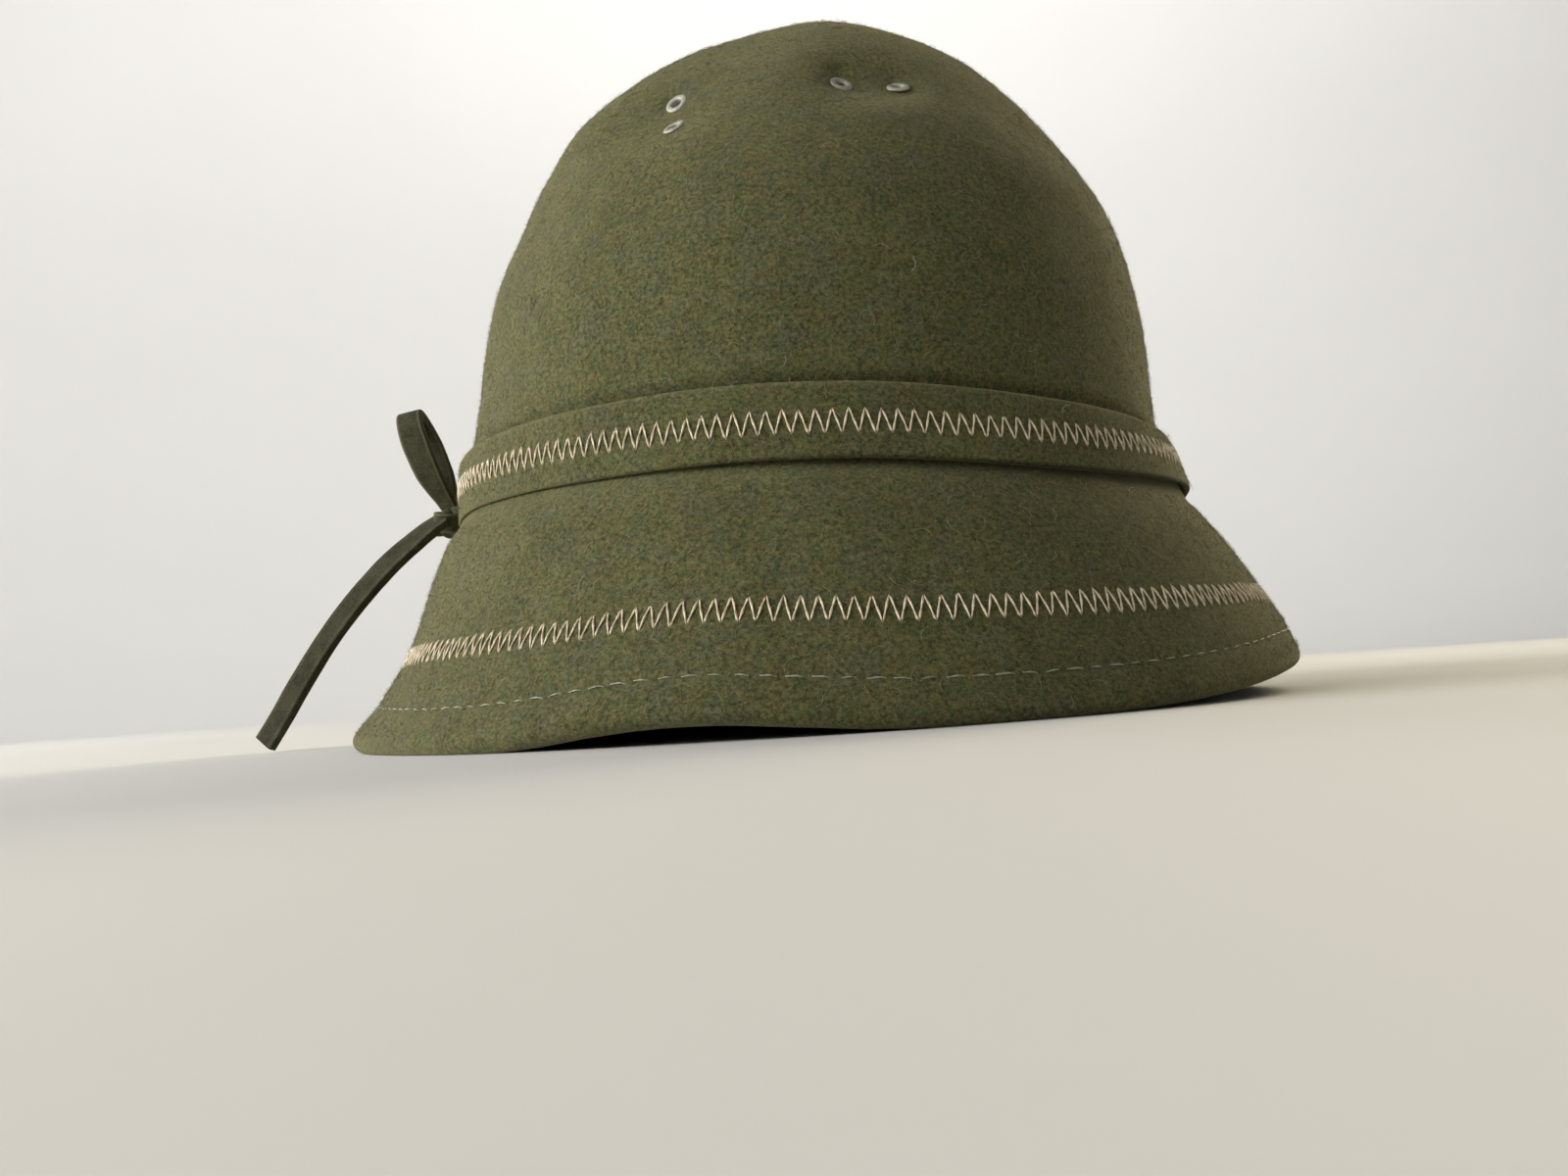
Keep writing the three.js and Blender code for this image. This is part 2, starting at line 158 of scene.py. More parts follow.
def directions_on(surface, azimuth, row):
    """Outward normal and downward direction of the felt."""
    turn, step = 0.2, 0.01
    around = surface(azimuth + turn, row) - surface(azimuth - turn, row)
    down = unit(surface(azimuth, row + step) - surface(azimuth, row - step))
    return unit(np.cross(down, around)), down


def row_at_height(surface, azimuth, height):
    return np.interp(-height, -surface(azimuth, CROWN_ROWS)[:, 2], CROWN_ROWS)


def pressed(dent):
    row = row_at_height(moulded_point, dent.azimuth, dent.height)
    normal, _ = directions_on(moulded_point, dent.azimuth, row)
    steepness = FLAT_DENT_STEEPNESS if dent.flat else DENT_STEEPNESS
    return moulded_point(dent.azimuth, row), normal, dent.radius, dent.depth, steepness


pressed_dents = [pressed(dent) for dent in DENTS]


def outer_point(azimuth, row):
    point = moulded_point(azimuth, row)
    shift = np.zeros_like(point)
    for centre, normal, radius, depth, steepness in pressed_dents:
        reach = np.linalg.norm(point - centre, axis=-1, keepdims=True) / radius
        shift -= depth * np.exp(-(reach ** steepness)) * normal
    return point + shift


def felt_swell(points):
    """How far handled felt stands off its smooth shape."""
    flat = [Vector(point) for point in points.reshape(-1, 3)]
    lumps = [SWELL * noise.noise(p / SWELL_SIZE) + GRAIN * noise.noise(p / GRAIN_SIZE) for p in flat]
    return np.array(lumps).reshape(*points.shape[:-1], 1)


def on_table(points):
    return np.maximum(points, (-np.inf, -np.inf, 0))


def hem_stitch_row(azimuth):
    return HEM_STITCH_ROW + HEM_STITCH_SWAY * np.cos(2 * np.radians(azimuth))


def felt_ring(azimuths, row, depth):
    """One ring of the shell, at a depth under its face, drawn in by the hem's stitches and the band."""
    normal, _ = directions_on(outer_point, azimuths, row)
    points = outer_point(azimuths, row)
    outward = felt_swell(points) - depth
    if depth == 0:
        pull = HEM_STITCH_PULL * falloff(row - hem_stitch_row(azimuths), HEM_STITCH_BREADTH)
        bite = BAND_BITE * falloff(row - BAND_BITE_ROW, BAND_BITE_BREADTH)
        outward = outward - (pull + bite)[:, None]
    return on_table(points + outward * normal)


def fold_ring(azimuths, angle):
    """One ring of the rim's half-round fold."""
    normal, down = directions_on(outer_point, azimuths, LAST_ROW)
    points = outer_point(azimuths, LAST_ROW)
    turn = normal * (math.cos(angle) - 1) + down * math.sin(angle)
    return on_table(points + FELT * turn + felt_swell(points) * normal)


def rows_spaced(first, last, spacing):
    """Rows of the table that lie a set distance apart along the felt's front."""
    rows = np.linspace(first, last, MEASURING_STEPS)
    along = np.concatenate([[0], np.cumsum(step_lengths(outer_point(0, rows)))])
    count = max(2, round(along[-1] / spacing) + 1)
    return np.interp(np.linspace(0, along[-1], count), along, rows)


AZIMUTHS = np.linspace(-180, 180, AROUND, endpoint=False)


def felt_rings(first, last, spacing, depth=0):
    return [felt_ring(AZIMUTHS, row, depth) for row in rows_spaced(first, last, spacing)]


def skin_faces(rings, around):
    """Quads between closed rings of points, facing out where the rings run downwards."""
    ring, i = np.meshgrid(np.arange(rings - 1), np.arange(around), indexing="ij")
    here, beside = ring * around + i, ring * around + (i + 1) % around
    return np.stack([here, here + around, beside + around, beside], axis=-1).reshape(-1, 4).tolist()


def closed_faces(rings, around):
    """The same quads, with the first and the last ring closed onto two poles that follow them."""
    faces = skin_faces(rings, around)
    last_ring = (rings - 1) * around
    first_pole, last_pole = rings * around, rings * around + 1
    for i in range(around):
        beside = (i + 1) % around
        faces.append([first_pole, i, beside])
        faces.append([last_pole, last_ring + beside, last_ring + i])
    return faces


def middle_of(box):
    low, high = (np.array(corner) for corner in box)
    return (low + high) / 2


outer_rings = felt_rings(TOP_ROW, LAST_ROW, RING_SPACING)
fold_rings = [fold_ring(AZIMUTHS, math.pi * step / FOLD_STEPS) for step in range(1, FOLD_STEPS)]
hem_rings = felt_rings(HEM_TOP_ROW, LAST_ROW, INNER_SPACING, 2 * FELT)[::-1]
inner_rings = felt_rings(TOP_ROW, HEM_TOP_ROW, INNER_SPACING, FELT)[::-1]
shell_rings = outer_rings + fold_rings + hem_rings + inner_rings
shell_points = np.concatenate(shell_rings)
shell_middle = (shell_points.min(axis=0) + shell_points.max(axis=0)) / 2
hat_shift = (middle_of(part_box("crown_and_brim")) - shell_middle * MM) * (1, 1, 0)
crown_top = outer_point(0, 0)
shell_points = np.vstack([shell_points, crown_top, crown_top - (0, 0, FELT)])


def in_row_frame(points):
    """Points in the hat's own axes, in millimetres, brought to the row's frame, in metres."""
    return points * MM + hat_shift


def smooth_mesh(name, points, faces, material=None):
    """A smooth-shaded mesh from points in metres."""
    mesh = bpy.data.meshes.new(name)
    mesh.from_pydata(points.tolist(), [], faces)
    mesh.shade_smooth()
    if material:
        mesh.materials.append(material)
    return mesh


def new_object(name, data):
    piece = bpy.data.objects.new(name, data)
    bpy.context.scene.collection.objects.link(piece)
    return piece


def felt_piece(name, points, faces, material):
    return new_object(name, smooth_mesh(name, in_row_frame(points), faces, material))


def set_painted_light(piece, tone_marks):
    """Marks points: 1 is a painted highlight on a cut edge, -1 painted shade deep in a crease."""
    attribute = piece.data.attributes.new("tone_marks", "FLOAT", "POINT")
    attribute.data.foreach_set("value", np.asarray(tone_marks, np.float32))


def settled(piece):
    """The piece with its modifiers made part of its mesh."""
    evaluated = piece.evaluated_get(bpy.context.evaluated_depsgraph_get())
    mesh = bpy.data.meshes.new_from_object(evaluated)
    piece.modifiers.clear()
    piece.data = mesh
    mesh.name = piece.name
    return piece


def join(tree, node, inputs):
    """Sets a node's inputs, by socket name or number, or joins them where the value is a socket."""
    for socket, value in inputs.items():
        if isinstance(value, bpy.types.NodeSocket):
            tree.links.new(value, node.inputs[socket])
        else:
            node.inputs[socket].default_value = value


def add_node(tree, kind, inputs=None, output=0, **settings):
    """One output of a new node, with its settings made and its inputs set or joined."""
    node = tree.nodes.new(kind)
    for name, value in settings.items():
        setattr(node, name, value)
    join(tree, node, inputs or {})
    return node.outputs[output]


def new_material(name):
    material = bpy.data.materials.new(name)
    material.use_nodes = True
    tree = material.node_tree
    return material, tree, tree.nodes["Principled BSDF"]


def object_place(tree):
    return add_node(tree, "ShaderNodeTexCoord", output="Object")


def marked(tree, attribute):
    return add_node(tree, "ShaderNodeAttribute", output="Fac", attribute_name=attribute)


def noise_at(tree, place, scale, detail=2.0, distortion=0.0, roughness=0.5):
    return add_node(tree, "ShaderNodeTexNoise", {
        "Vector": place, "Scale": scale, "Detail": detail,
        "Distortion": distortion, "Roughness": roughness,
    }, output="Fac")


def spread(tree, value, low, high, to_low=0.0, to_high=1.0):
    """A range stretched to another. Noise keeps near 0.5, so a narrow range gives contrast."""
    return add_node(tree, "ShaderNodeMapRange", {
        "Value": value, "From Min": low, "From Max": high, "To Min": to_low, "To Max": to_high,
    }, output="Result")


def blend_colours(tree, factor, first, second, blend_type="MIX"):
    sockets = {0: factor, 6: first, 7: second}
    return add_node(tree, "ShaderNodeMix", sockets, output=2, data_type="RGBA", blend_type=blend_type)


def shaded(tree, colour, brightness):
    return blend_colours(tree, 1.0, colour, brightness, "MULTIPLY")


def reckon(tree, operation, first, second=0.0):
    return add_node(tree, "ShaderNodeMath", {0: first, 1: second}, operation=operation)


def times(tree, first, second):
    return reckon(tree, "MULTIPLY", first, second)


def bumped(tree, height, strength, depth):
    sockets = {"Height": height, "Strength": strength, "Distance": depth * MM}
    return add_node(tree, "ShaderNodeBump", sockets, output="Normal")


FELT_OLIVE = (0.087, 0.089, 0.034, 1)
FELT_BROWN = (0.12, 0.099, 0.037, 1)
FELT_GREEN = (0.061, 0.083, 0.03, 1)
FELT_GREY = (0.08, 0.086, 0.058, 1)
FELT_SHEEN = (0.62, 0.56, 0.34, 1)
STRAND_AND_HIGHLIGHT_PALE = (0.26, 0.25, 0.145, 1)
STRAND_TURNS = ((0.3, 0.5, 0.2), (1.4, 0.2, 0.9), (0.7, 1.3, 2.1), (2.2, 0.9, 0.4), (1.1, 2.4, 1.5))
STRAND_STRETCH = (1, 5, 5)
STRAND_BREADTH = 0.03
GRAIN_RELIEF, STRAND_RELIEF = 0.4, 0.25


def felt_material():
    """Mottled wool: olive, brown, green and grey fibres matted together, with pale strands on top."""
    material, tree, shader = new_material("olive_wool_felt")
    place = object_place(tree)
    hue = noise_at(tree, place, scale=460, detail=5, roughness=0.74)
    drift = noise_at(tree, place, scale=70, detail=4, roughness=0.62)
    haze = noise_at(tree, place, scale=160, detail=3, distortion=0.4)
    clumps = noise_at(tree, place, scale=1250, detail=5, roughness=0.72)
    grain = noise_at(tree, place, scale=4200, detail=2, roughness=0.6)
    colour = blend_colours(tree, spread(tree, hue, 0.38, 0.62), FELT_GREEN, FELT_BROWN)
    colour = blend_colours(tree, spread(tree, drift, 0.35, 0.65, 0.0, 0.5), colour, FELT_OLIVE)
    colour = blend_colours(tree, spread(tree, haze, 0.45, 0.7, 0.0, 0.55), colour, FELT_GREY)
    colour = shaded(tree, colour, spread(tree, drift, 0.3, 0.7, 0.84, 1.16))
    colour = shaded(tree, colour, spread(tree, clumps, 0.3, 0.7, 0.28, 1.8))
    colour = shaded(tree, colour, spread(tree, grain, 0.25, 0.75, 0.65, 1.35))
    strands = None
    for turn in STRAND_TURNS:
        sockets = {"Vector": place, "Rotation": turn, "Scale": STRAND_STRETCH}
        lay = add_node(tree, "ShaderNodeMapping", sockets)
        field = noise_at(tree, lay, scale=560, detail=1, distortion=0.6)
        off_line = reckon(tree, "ABSOLUTE", reckon(tree, "SUBTRACT", field, 0.5))
        line = spread(tree, off_line, STRAND_BREADTH, 0.0)
        strands = line if strands is None else reckon(tree, "MAXIMUM", strands, line)
    showing = times(tree, strands, spread(tree, clumps, 0.42, 0.62, 0.02, 0.34))
    colour = blend_colours(tree, showing, colour, STRAND_AND_HIGHLIGHT_PALE)
    # Painted light: marked cut edges blend to pale as a painted highlight, and marked creases darken as
    # painted shade.
    tone_marks = marked(tree, "tone_marks")
    colour = blend_colours(tree, spread(tree, tone_marks, 0.8, 1.0, 0.0, 0.3), colour, STRAND_AND_HIGHLIGHT_PALE)
    colour = shaded(tree, colour, spread(tree, tone_marks, -1.0, 0.0, 0.1, 1.0))
    relief = reckon(tree, "ADD", clumps, times(tree, grain, GRAIN_RELIEF))
    relief = reckon(tree, "ADD", relief, times(tree, strands, STRAND_RELIEF))
    join(tree, shader, {
        "Base Color": colour, "Roughness": 0.96, "Specular IOR Level": 0.15,
        "Sheen Weight": 0.4, "Sheen Roughness": 0.45, "Sheen Tint": FELT_SHEEN,
        "Normal": bumped(tree, relief, strength=0.34, depth=0.4),
    })
    return material


felt_cloth = felt_material()
shell_faces = closed_faces(len(shell_rings), AROUND)
shell = felt_piece("felt_crown_and_brim", shell_points, shell_faces, felt_cloth)

# Eyelet places on the crown, punched through the felt before the eyelets go in, and how far each is
# tipped back in its seat, in degrees
Eyelet = namedtuple("Eyelet", "node azimuth height tip")
EYELETS = (
    Eyelet("eyelet_side_upper", -24.9, 134.6, 0),
    Eyelet("eyelet_side_lower", -23.5, 126.5, 6),
    Eyelet("eyelet_front_left", 7.7, 133.6, 3),
    Eyelet("eyelet_front_right", 18.5, 133.2, 12),
)
PUNCH = 3.3
PUNCH_DEPTH = 6 * FELT
PUNCH_SIDES = 24
UP = np.array((0, 0, 1.0))


def turned_about(vector, axis, angle):
    """A vector turned about unit axes by angles in radians."""
    cos, sin = np.cos(angle), np.sin(angle)
    along = np.sum(axis * vector, axis=-1, keepdims=True)
    return vector * cos + np.cross(axis, vector) * sin + axis * along * (1 - cos)


def eyelet_place(eyelet):
    """Turn and place of an eyelet, with its axis along the felt's normal, in the row's frame."""
    row = row_at_height(outer_point, eyelet.azimuth, eyelet.height)
    normal, _ = directions_on(outer_point, eyelet.azimuth, row)
    level = unit(np.cross(UP, normal))
    axis = turned_about(normal, level, math.radians(-eyelet.tip))
    turn = Vector(UP).rotation_difference(Vector(axis)).to_matrix().to_4x4()
    return Matrix.Translation(Vector(in_row_frame(outer_point(eyelet.azimuth, row)))) @ turn


punch_shape = bmesh.new()
for eyelet in EYELETS:
    bmesh.ops.create_cone(
        punch_shape, cap_ends=True, segments=PUNCH_SIDES, radius1=PUNCH / 2 * MM, radius2=PUNCH / 2 * MM,
        depth=PUNCH_DEPTH * MM, matrix=eyelet_place(eyelet),
    )
punch = new_object("punch", bpy.data.meshes.new("punch"))
punch_shape.to_mesh(punch.data)
punch_shape.free()
cut = shell.modifiers.new("punched_holes", "BOOLEAN")
cut.operation, cut.solver, cut.object = "DIFFERENCE", "MANIFOLD", punch
settled(shell)
bpy.data.objects.remove(punch)
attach(shell, "root")
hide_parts("crown_and_brim")

# Nap and loose fibres
# Wool that works out of the felt: a short nap all over, and longer single fibres that lie matted on it.
# They are the felt's own fibres, so most are olive and some are straw, with a little white lint.

NAP_LENGTH, NAP_THICKNESS = 0.95, 0.07
LOOSE_LENGTH, LOOSE_THICKNESS = 2.6, 0.07
SHORTEST_FIBRE, LONGEST_FIBRE = 0.4, 1.3
FIBRE_SIDES = 3
FIBRE_SEED = 11
FIBRE_OLIVE = (0.14, 0.133, 0.06, 1)
FIBRE_STRAW = (0.38, 0.35, 0.22, 1)
LINT_WHITE = (0.6, 0.58, 0.52, 1)

# Fibres on each square millimetre of a patch
FibreCover = namedtuple("FibreCover", "nap loose")
CROWN_COVER = FibreCover(0.78, 0.12)
BRIM_COVER = FibreCover(1.4, 0.16)
BRIM_PATCH_ROW = 9.6


def fibre_material():
    material, tree, shader = new_material("wool_fibres")
    tone = marked(tree, "fibre_tone")
    colour = blend_colours(tree, spread(tree, tone, 0.35, 0.99), FIBRE_OLIVE, FIBRE_STRAW)
    colour = blend_colours(tree, spread(tree, tone, 0.994, 0.996), colour, LINT_WHITE)
    join(tree, shader, {"Base Color": colour, "Roughness": 0.8, "Specular IOR Level": 0.2})
    return material


def new_tree(name, inputs):
    """An empty node tree for a Geometry Nodes modifier, with its named inputs and its far end."""
    tree = bpy.data.node_groups.new(name, "GeometryNodeTree")
    for label, kind in {"Geometry": "Geometry", **inputs}.items():
        tree.interface.new_socket(label, in_out="INPUT", socket_type="NodeSocket" + kind)
    tree.interface.new_socket("Geometry", in_out="OUTPUT", socket_type="NodeSocketGeometry")
    return tree, tree.nodes.new("NodeGroupInput").outputs, tree.nodes.new("NodeGroupOutput")


def finish_tree(tree, geometry, material, end):
    real = add_node(tree, "GeometryNodeRealizeInstances", {"Geometry": geometry})
    dressed = add_node(tree, "GeometryNodeSetMaterial", {"Geometry": real, "Material": material})
    smooth = add_node(tree, "GeometryNodeSetShadeSmooth", {"Geometry": dressed})
    tree.links.new(smooth, end.inputs[0])


def grown(piece, tree, **values):
    """The piece as its tree makes it from these inputs, as a plain mesh."""
    modifier = piece.modifiers.new(tree.name, "NODES")
    modifier.node_group = tree
    for item in tree.interface.items_tree:
        label = item.name.lower().replace(" ", "_")
        if item.in_out == "INPUT" and label in values:
            modifier[item.identifier] = values[label]
    return settled(piece)


def random_number(tree, low, high, seed):
    return add_node(tree, "FunctionNodeRandomValue", {2: low, 3: high, "Seed": seed}, output=1)


def turned_by(tree, rotation, by):
    sockets = {"Rotation": rotation, "Rotate By": by}
    return add_node(tree, "FunctionNodeRotateRotation", sockets, rotation_space="LOCAL")


def nap_spike(tree, slimness):
    """One short fibre, a spike of unit length with its foot in the felt."""
    return add_node(tree, "GeometryNodeMeshCone", {
        "Vertices": FIBRE_SIDES, "Radius Bottom": slimness, "Radius Top": 0.0, "Depth": 1.0,
    }, output="Mesh")


def loose_strand(tree, slimness):
    """One long fibre, a bent thread of unit length that lies along the felt."""
    arc = add_node(tree, "GeometryNodeCurveQuadraticBezier", {
        "Resolution": 3, "Start": (0, 0, -0.02), "Middle": (0.55, 0.42, 0.06), "End": (1, -0.05, 0.01),
    })
    sockets = {"Resolution": FIBRE_SIDES, "Radius": slimness}
    section = add_node(tree, "GeometryNodeCurvePrimitiveCircle", sockets)
    sockets = {"Curve": arc, "Profile Curve": section, "Fill Caps": True}
    return add_node(tree, "GeometryNodeCurveToMesh", sockets)


def fibre_tree(name, make_fibre, lean, pitch_low, pitch_high):
    """Fibres scattered over a patch of felt, each turned, leaned and sized at random."""
    tree, given, end = new_tree(name, {
        "Density": "Float", "Length": "Float", "Thickness": "Float", "Seed": "Int",
        "Material": "Material",
    })
    spots = add_node(tree, "GeometryNodeDistributePointsOnFaces", {
        "Mesh": given["Geometry"], "Density": given["Density"], "Seed": given["Seed"],
    })
    slimness = reckon(tree, "DIVIDE", times(tree, given["Thickness"], 0.5), given["Length"])
    spin = add_node(tree, "ShaderNodeCombineXYZ", {
        "X": random_number(tree, -lean, lean, seed=1),
        "Y": random_number(tree, pitch_low, pitch_high, seed=2),
        "Z": random_number(tree, 0, 2 * math.pi, seed=3),
    })
    by = add_node(tree, "FunctionNodeEulerToRotation", {"Euler": spin})
    size = random_number(tree, SHORTEST_FIBRE, LONGEST_FIBRE, seed=4)
    fibres = add_node(tree, "GeometryNodeInstanceOnPoints", {
        "Points": spots, "Instance": make_fibre(tree, slimness),
        "Rotation": turned_by(tree, spots.node.outputs["Rotation"], by),
        "Scale": times(tree, given["Length"], size),
    })
    toned = add_node(tree, "GeometryNodeStoreNamedAttribute", {
        "Geometry": fibres, "Name": "fibre_tone", "Value": random_number(tree, 0, 1, seed=5),
    }, data_type="FLOAT", domain="INSTANCE")
    finish_tree(tree, toned, given["Material"], end)
    return tree


wool_fibres = fibre_material()
nap_maker = fibre_tree("short_nap", nap_spike, lean=0.4, pitch_low=0.3, pitch_high=1.3)
loose_maker = fibre_tree("loose_fibres", loose_strand, lean=0.12, pitch_low=-0.16, pitch_high=0.04)


def grow_fibres(name, rings, cover):
    """The nap and the loose fibres on a skin over rings of points, as two pieces."""
    patch_faces = skin_faces(len(rings), len(rings[0]))
    patch = smooth_mesh(name + "_patch", in_row_frame(np.concatenate(rings)), patch_faces)
    kinds = (
        ("_nap", nap_maker, cover.nap, NAP_LENGTH, NAP_THICKNESS),
        ("_loose_fibres", loose_maker, cover.loose, LOOSE_LENGTH, LOOSE_THICKNESS),
    )
    for ending, maker, density, length, thickness in kinds:
        piece = new_object(name + ending, patch.copy())
        grown(
            piece, maker, density=density / MM ** 2, length=length * MM, thickness=thickness * MM,
            seed=FIBRE_SEED, material=wool_fibres,
        )
        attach(piece, "root")


grow_fibres("crown", felt_rings(TOP_ROW, BAND_TOP_ROW, INNER_SPACING), CROWN_COVER)
grow_fibres("brim", felt_rings(BRIM_PATCH_ROW, LAST_ROW, INNER_SPACING), BRIM_COVER)

# Hat band
# A strip of the same felt wrapped round the foot of the crown, its ends meeting under the knot. It is
# sewn on through its middle, so its top edge hugs the crown and its lower edge stands off the brim.

BAND_FELT = 2.4
BAND_SEAM = -90
BAND_SEAM_GAP = 0.6
BAND_GAP = 0.3
BAND_CORNER = 0.8
BAND_TAPER, BAND_TAPER_SHARE = 4, 0.5
BAND_STATIONS = 361
BAND_EDGE_WANDER, BAND_EDGE_WANDER_SIZE = 0.35, 34
BAND_EASING = (-10, -5, 0, 5, 10)
BAND_COVER = FibreCover(1.2, 0.14)
BAND_COVER_TOP, BAND_COVER_FOOT, BAND_COVER_RINGS = 0.47, -0.42, 6
STRIP_SWELL = 0.6

# Round the hat from the seam, in millimetres and degrees: how far the band rides up, how wide it shows,
# how far its lower edge stands off, how far below its top edge it is stitched, and the shade beneath it
BandPlace = namedtuple("BandPlace", "azimuth lift width flare stitch shade")
BAND_PLACES = (
    BandPlace(-90, 0, 13.2, 3, 6, 0),
    BandPlace(-72, 0, 13.6, 3, 6.2, 0),
    BandPlace(-50, 0, 14.4, 4, 7.3, 0),
    BandPlace(-20, 0, 15, 7, 8.1, 0.1),
    BandPlace(0, 0, 15, 10.5, 8.1, 0.35),
    BandPlace(15, -0.5, 15.2, 12, 8.1, 0.75),
    BandPlace(32, -1.2, 15.2, 14, 7.8, 1),
    BandPlace(59, -0.7, 13.3, 17, 6.1, 1),
    BandPlace(72, -0.2, 11.4, 18, 4.8, 1),
    BandPlace(95, 0, 11, 17, 5, 0.9),
    BandPlace(130, 0, 12.6, 14, 6.8, 0.7),
    BandPlace(180, 0, 13.8, 12, 8, 0.6),
    BandPlace(230, 0, 13.4, 9, 7, 0.5),
    BandPlace(270, 0, 13.2, 3, 6, 0),
)


def band_size(azimuth, size):
    """One of the band's sizes at any place round the hat, eased between the measured ones."""
    places = [place.azimuth for place in BAND_PLACES]
    sizes = [getattr(place, size) for place in BAND_PLACES]
    near = [np.interp(azimuth + turn, places, sizes) for turn in BAND_EASING]
    return np.mean(near, axis=0)[..., None]


def band_frame(azimuth):
    """Middle of the band, its direction up along the felt, its outward normal and its width."""
    azimuth = np.asarray(azimuth, float)
    width = band_size(azimuth, "width")
    flare = np.radians(band_size(azimuth, "flare"))
    normal, _ = directions_on(outer_point, azimuth, BAND_TOP_ROW)
    outward = unit(normal * (1, 1, 0))
    across = UP * np.cos(flare) - outward * np.sin(flare)
    through = outward * np.cos(flare) + UP * np.sin(flare)
    top = outer_point(azimuth, BAND_TOP_ROW) + UP * band_size(azimuth, "lift")
    return top - across * width / 2 + through * (BAND_GAP + BAND_FELT / 2), across, through, width


def rounded_section(width, thickness, corner, corner_steps=5, side_steps=6):
    """Outline of a strip's cut end with rounded corners, from the middle, as across and through."""
    corners = ((1, 1, 0), (-1, 1, 90), (-1, -1, 180), (1, -1, 270))
    outline = []
    for a, b, start in corners:
        centre = np.array((a * (width / 2 - corner), b * (thickness / 2 - corner)))
        for angle in np.radians(start + np.linspace(0, 90, corner_steps)):
            outline.append(centre + corner * np.array((math.cos(angle), math.sin(angle))))
    closed = np.array(outline + outline[:1])
    fine = []
    for here, there in zip(closed[:-1], closed[1:]):
        pieces = side_steps if np.linalg.norm(there - here) > width / 3 else 1
        fine += [here + (there - here) * step / pieces for step in range(pieces)]
    return np.array(fine)


def swept_strip(middles, acrosses, throughs, outline, widths):
    """A felt strip swept along its frames: points, faces and each point's nearness to a cut corner."""
    wide = outline[None, :, :1] * (np.ravel(widths) / np.ptp(outline[:, 0]))[:, None, None]
    points = middles[:, None] + wide * acrosses[:, None] + outline[None, :, 1:] * throughs[:, None]
    count, round_it = len(middles), len(outline)
    swell = felt_swell(points) * STRIP_SWELL
    points = (points + swell * throughs[:, None] * np.sign(outline[None, :, 1:])).reshape(-1, 3)
    faces = [face[::-1] for face in skin_faces(count, round_it)]
    faces.append(list(range(round_it))[::-1])
    faces.append(list(range((count - 1) * round_it, count * round_it)))
    corner = np.min(np.abs(outline) / np.abs(outline).max(axis=0), axis=1)
    return points, faces, np.tile(corner, count)


half_seam = math.degrees(BAND_SEAM_GAP / 2 / SECTIONS[BAND_TOP_ROW, 2])
band_azimuths = np.linspace(BAND_SEAM + half_seam, BAND_SEAM + 360 - half_seam, BAND_STATIONS)
band_middle, band_across, band_through, band_widths = band_frame(band_azimuths)
wander = [noise.noise(Vector(p) / BAND_EDGE_WANDER_SIZE) * BAND_EDGE_WANDER for p in band_middle]
band_middle = band_middle + band_across * np.array(wander)[:, None]
band_skin = band_middle + band_through * BAND_FELT / 2
band_width = band_widths.mean()
band_length = step_lengths(band_middle).sum()

band_outline = rounded_section(band_width, BAND_FELT, BAND_CORNER)
tapered = np.clip((-band_outline[:, 0] - band_width / 2 + BAND_TAPER) / BAND_TAPER, 0, 1)
thinned = tapered * BAND_TAPER_SHARE
band_outline[:, 1] = BAND_FELT / 2 - (BAND_FELT / 2 - band_outline[:, 1]) * (1 - thinned)
band_points, band_faces, band_corner = swept_strip(
    band_middle, band_across, band_through, band_outline, band_widths,
)
below = -np.tile(band_outline[:, 0], BAND_STATIONS) - (band_width / 2 - BAND_CORNER)
band_shade = np.repeat(band_size(band_azimuths, "shade"), len(band_outline))
under_edge = np.clip(below / BAND_CORNER, 0, 1)
band = felt_piece("felt_hat_band", band_points, band_faces, felt_cloth)
# Painted highlight on the band's upper cut corners, and painted shade on its lower edge where shadow
# falls under it
set_painted_light(band, np.where(below < -BAND_CORNER, band_corner, -under_edge * band_shade))
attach(band, "root")
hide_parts("hat_band")

band_shares = np.linspace(BAND_COVER_TOP, BAND_COVER_FOOT, BAND_COVER_RINGS)
grow_fibres("band", [band_skin + band_across * band_widths * share for share in band_shares], BAND_COVER)

# Painted shade darkens the creases that the band's two edges make with the shell
CREASE_OVER, CREASE_OVER_BREADTH = 0.5, 1.1
CREASE_UNDER_BREADTH, CREASE_UNDER_LEAST = 2.7, 0.3


def crease_painted_shade(points):
    """How much painted shade each point of the shell gets beside the band, as a value below zero."""
    _, half_width, half_depth, right, back = SECTIONS[BAND_TOP_ROW, :5]
    x = (points[:, 0] - right) / half_width
    y = (back - points[:, 1]) / half_depth
    azimuth = (np.degrees(np.arctan2(x, y)) - BAND_SEAM) % 360 + BAND_SEAM
    middle, across, _, width = band_frame(azimuth)
    top, foot = ((middle + side * across * width / 2)[:, 2] for side in (1, -1))
    shade = band_size(azimuth, "shade")[:, 0]
    breadth = CREASE_UNDER_BREADTH * (CREASE_UNDER_LEAST + (1 - CREASE_UNDER_LEAST) * shade)
    under = shade * falloff(points[:, 2] - foot, breadth)
    over = CREASE_OVER * falloff(points[:, 2] - top, CREASE_OVER_BREADTH)
    return -np.maximum(under, over)


# The shell's painted shade in the creases beside the band
shell_coordinates = np.empty(3 * len(shell.data.vertices), np.float32)
shell.data.vertices.foreach_get("co", shell_coordinates)
set_painted_light(shell, crease_painted_shade((shell_coordinates.reshape(-1, 3) - hat_shift) / MM))

# Zigzag stitching
# Two rows of straw-coloured two-ply thread, machine sewn: one holds the band to the crown and one runs
# round the brim as trim. Each leg lies on the felt and dives into it at the needle holes.

